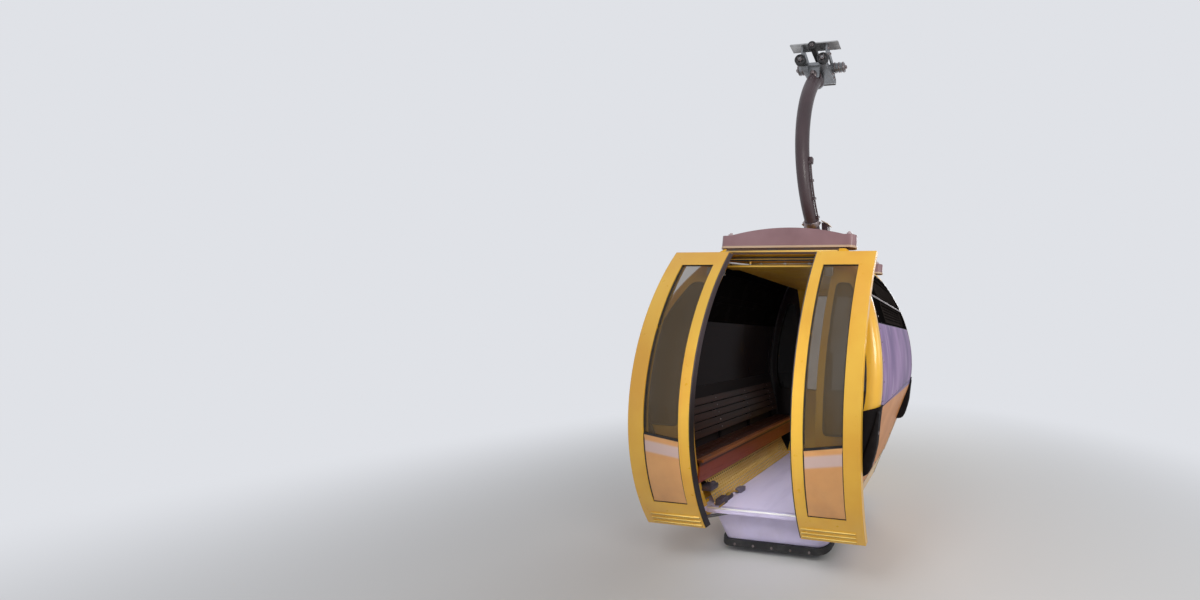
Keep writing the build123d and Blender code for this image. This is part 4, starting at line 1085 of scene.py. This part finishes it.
# Pale lips under the roof beams
lips = bmesh.new()
low_z, high_z = foot + beam_low_up - 0.016, foot + beam_low_up + 0.003
for sy in (-1, 1):
    rings = []
    for grow, z in ((0.003, low_z), (0.003, high_z), (-0.004, high_z), (-0.004, low_z)):
        outline = rounded_outline(beam_half_length + grow, beam_half_width + grow, beam_round + grow)
        rings.append([lips.verts.new((x, sy * beam_y + y, z)) for x, y in outline])
    stitch(lips, rings + rings[:1], caps=False)
solid("roof_beam_lips", lips, "frame_paint", "pale_trim_and_highlight", turned=True)

# Bolts of the roof frame and the hanger's saddle
frame_bolts = bmesh.new()
for sx in sides:
    for y in spread(saddle_y - 0.100, saddle_y + 0.100, 2):
        bolt(frame_bolts, (sx * (saddle_half_length - 0.014), y, foot + saddle_top_up), (0, 0, 1), 0.009)
    for sy in (-1, 1):
        for y in (0.455, 0.495):
            bolt(frame_bolts, (sx * 0.035, sy * y, foot + cross_top_up), (0, 0, 1), 0.010)
        for z in (0.030, 0.065):
            place = (sx * 0.470, sy * (beam_y - beam_half_width), foot + beam_low_up + z)
            bolt(frame_bolts, place, (0, -sy, 0), 0.009)
solid("frame_bolts", frame_bolts, "cap_steel")


def arm_point(z):
    """Centre of the hanger's lower bend at a height, and its direction there."""
    a = asin(min(1.0, max(0.0, (arm_out_z - z) / arm_low_radius)))
    return Vector((0.0, arm_out_y + arm_low_radius * (1 - cos(a)), z)), Vector((0.0, sin(a), -cos(a)))


# Collar low on the hanger, with a bolt on each side
collar_place, collar_along = arm_point(-1.660)
collar = bmesh.new()
collar_profile = (
    (arm_radius - 0.002, -0.026), (arm_radius + 0.012, -0.026), (arm_radius + 0.015, -0.020),
    (arm_radius + 0.015, 0.020), (arm_radius + 0.012, 0.026), (arm_radius - 0.002, 0.026),
)
lathe(collar, collar_profile, collar_place, collar_along, 40)
for sx in sides:
    bolt(collar, collar_place + Vector((sx * (arm_radius + 0.013), 0.0, 0.0)), (sx, 0, 0), 0.011)
solid("hanger_collar", collar, "cap_steel", turned=True)

# Dark brackets on the saddle beside the hanger, leaning with it, each with a wing on top whose pale colour
# is a painted highlight
brackets = bmesh.new()
wings = bmesh.new()
saddle_z = foot + saddle_top_up
bracket_in, bracket_out = arm_radius - 0.002, 0.128
bracket_low, bracket_high = (0.066, 0.210), (-0.006, 0.070)
wing_ys = (-0.022, 0.082)
for sx in sides:
    rings = []
    for (front_y, rear_y), in_rise, out_rise in (
        (bracket_low, -0.002, -0.002), (bracket_high, 0.318, 0.292),
    ):
        corners = (
            (bracket_in, front_y, in_rise), (bracket_out, front_y, out_rise),
            (bracket_out, rear_y, out_rise), (bracket_in, rear_y, in_rise),
        )
        rings.append([brackets.verts.new((sx * x, y, saddle_z + z)) for x, y, z in corners])
    stitch(brackets, rings)
    foot_xs = (sx * bracket_in, sx * (bracket_out + 0.022))
    box(brackets, foot_xs, (0.064, 0.232), (saddle_z - sunk, saddle_z + 0.016), 0.004)
    for y in (0.086, 0.148, 0.210):
        bolt(brackets, (sx * (bracket_out + 0.010), y, saddle_z + 0.016), (0, 0, 1), 0.006)
    for share in (0.30, 0.55, 0.80):
        y = bracket_low[0] + share * (bracket_high[0] - bracket_low[0])
        bolt(brackets, (sx * 0.100, y, saddle_z + share * 0.300), (0, -0.97, -0.22), 0.009)
    # The wing's pale colour is a painted highlight on the bracket's top.
    near, far = (bracket_in + 0.002, saddle_z + 0.326), (bracket_out + 0.018, saddle_z + 0.287)
    crest = [Vector((sx * x, y, z)) for (x, z), ys in ((near, wing_ys), (far, wing_ys[::-1])) for y in ys]
    slab(wings, crest, (0.0, 0.0, 0.009))
solid("saddle_brackets", brackets, "hanger_paint", turned=True)
solid("saddle_wings", wings, "cap_steel", "pale_trim_and_highlight", turned=True)

# Pipe up the hanger's side, with its clips and the gland at its top
pipe = bmesh.new()
pipe_points = [arm_point(-1.170 - i * 0.0375) for i in range(13)]
pipe_line = [centre + Vector((arm_radius + 0.013, 0.0, 0.0)) for centre, along in pipe_points]
tube_along(pipe, pipe_line, 0.0085, 10)
for centre, along in pipe_points[::4]:
    across = Vector((0.0, -along.z, along.y)) * 0.022
    seat = centre + Vector((arm_radius - 0.006, 0.0, 0.0))
    half = along * 0.012
    corners = [seat - half - across, seat + half - across, seat + half + across, seat - half + across]
    slab(pipe, corners, (0.030, 0.0, 0.0))
x, y, z = pipe_line[0]
box(pipe, (x - 0.012, x + 0.020), about(y, 0.020), (z - 0.004, z + 0.052), 0.004)
solid("arm_pipe", pipe, "hanger_paint", turned=True)

# Grip fittings
grip_bolts = bmesh.new()
pin_y, pin_z = jaw_pin
cheek_bolts = (
    (-0.285, -0.020), (-0.285, 0.060), (-0.275, 0.138), (-0.215, 0.128), (-0.115, -0.020), (-0.062, -0.020),
)
spring_band = (
    (spring_radius - 0.001, 0.0), (spring_radius + 0.005, 0.001), (spring_radius + 0.005, 0.011),
    (spring_radius - 0.001, 0.012),
)
for sx in sides:
    for y, z in cheek_bolts:
        bolt(grip_bolts, (sx * cheek_out, y, z), (sx, 0, 0), 0.0085)
    for start in (cheek_out + 0.012, cheek_out + 0.060, spring_end - 0.016):
        lathe(grip_bolts, spring_band, (sx * start, pin_y, pin_z), (sx, 0, 0), 36)
    bolt(grip_bolts, (sx * spring_end, pin_y, pin_z), (sx, 0, 0), 0.017, 1.9)
for sy in (-1, 1):
    bolt(grip_bolts, (0.0, swing_pin[0] + sy * fork_out, swing_pin[1]), (0, sy, 0), 0.022, 1.7)
for x in (-0.220, -0.075, 0.075, 0.220):
    for y in (-0.300, -0.240):
        screw(grip_bolts, (x, y, drive_plate_top), (0, 0, 1), 0.009, 14)
solid("grip_bolts", grip_bolts, "cap_steel", body="grip")

# Hubs of the rollers: a rim and five bolts
hub_rim = ((0.013, -sunk), (0.021, -sunk), (0.021, 0.002), (0.018, 0.004), (0.013, 0.004))
for body, (x, y, z), web_radius, half, bolt_radius in (
    ("roller_left", (-0.118, -0.345, -0.040), 0.034, 0.016, 0.005),
    ("roller_right", (0.118, -0.345, -0.040), 0.034, 0.016, 0.005),
    ("lever_roller", (0.0, -0.352, 0.104), 0.0265, 0.014, 0.0035),
):
    hub = bmesh.new()
    for k in range(5):
        a = 2 * pi * k / 5
        spot = (x + web_radius * cos(a), y - half + 0.007, z + web_radius * sin(a))
        bolt(hub, spot, (0, -1, 0), bolt_radius, 1.3)
    lathe(hub, hub_rim, (x, y - half, z), (0, -1, 0), 24)
    solid(f"{body}_hub", hub, "cap_steel", body=body)

# Camera, matched to the photograph
camera_place = Vector((1.4056, -3.3408, -2.8173))
camera_yaw = -0.1363
camera_pitch = 0.1142
camera_roll = 0.0266
camera_lens = 10.2866
photo_centre_shift = -0.2525

level_share = cos(camera_pitch)
forward = Vector((sin(camera_yaw) * level_share, cos(camera_yaw) * level_share, sin(camera_pitch)))
level_right = Vector((cos(camera_yaw), -sin(camera_yaw), 0.0))
level_top = level_right.cross(forward)
right = cos(camera_roll) * level_right + sin(camera_roll) * level_top
top = -sin(camera_roll) * level_right + cos(camera_roll) * level_top
camera_data = bpy.data.cameras.new("camera")
camera_data.lens = camera_lens
camera_data.sensor_width = 36.0
camera_data.shift_x = photo_centre_shift
camera_data.clip_start = 0.05
camera = bpy.data.objects.new("camera", camera_data)
bpy.context.scene.collection.objects.link(camera)
camera.matrix_world = Matrix.Translation(camera_place) @ Matrix((right, top, -forward)).transposed().to_4x4()
bpy.context.scene.camera = camera

# Plain floor, fading into the backdrop's own brightness
floor_drop = 0.36
floor_half = 40.0
backdrop_colour = (0.93, 0.95, 1.0)
backdrop_strength = 0.80
floor_corners = ((-1, -1), (1, -1), (1, 1), (-1, 1))
floor_mesh = bpy.data.meshes.new("ground")
floor_mesh.from_pydata(
    [(x * floor_half, y * floor_half, foot - floor_drop) for x, y in floor_corners], [], [(0, 1, 2, 3)],
)
ground = bpy.data.objects.new("ground", floor_mesh)
bpy.context.scene.collection.objects.link(ground)
plain = Finish("ground", linear(214, 213, 211), 0.9, shine=0.1)
away = plain.step("VectorMath", {0: plain.place(scale=(1.0, 1.0, 0.0))}, "Value", operation="LENGTH")
far_off = plain.times(plain.seen(), plain.range(away, 1.6, 7.0, smooth=True))
glow = plain.step("Emission", {"Color": backdrop_colour, "Strength": backdrop_strength})
fade = plain.step("MixShader", {0: far_off, 1: plain.shader.outputs[0], 2: glow})
plain.feed("Surface", fade, plain.tree.nodes["Material Output"])
floor_mesh.materials.append(plain.material)


def soft_light(name, place, target, size, power, colour=(1.0, 1.0, 1.0), spread_angle=180.0, mirrored=True):
    """A round area lamp, unseen itself, aimed at a target."""
    data = bpy.data.lights.new(name, "AREA")
    data.shape = "DISK"
    data.size = size
    data.energy = power
    data.color = colour
    data.spread = radians(spread_angle)
    lamp = bpy.data.objects.new(name, data)
    lamp.location = place
    lamp.rotation_euler = (Vector(target) - lamp.location).to_track_quat("-Z", "Y").to_euler()
    lamp.visible_camera = False
    lamp.visible_glossy = mirrored
    bpy.context.scene.collection.objects.link(lamp)


middle = (0.0, 0.0, foot + 1.2)
soft_light("key", (2.5, -3.3, -1.7), middle, 1.5, 56.0, (1.0, 0.98, 0.94))
soft_light("overhead", (-0.35, -3.9, 0.6), (0.0, -0.2, foot), 1.8, 44.0, (0.97, 0.98, 1.0), mirrored=False)
soft_light("doorway", (0.10, -2.60, -2.0), (-0.05, -0.20, foot), 0.8, 2.0, spread_angle=34.0, mirrored=False)
soft_light("side", (4.6, -0.6, -1.6), middle, 2.0, 24.0)
soft_light("rear", (0.5, 5.5, -0.5), middle, 3.0, 130.0)

world = bpy.data.worlds.new("world")
bpy.context.scene.world = world
world.use_nodes = True
sky = Steps(world.node_tree, world.node_tree.nodes["Background"])
sky.feed("Color", backdrop_colour)
sky.feed("Strength", sky.range(sky.seen(), 0.0, 1.0, 0.42, backdrop_strength))
bpy.context.scene.view_settings.view_transform = "Standard"
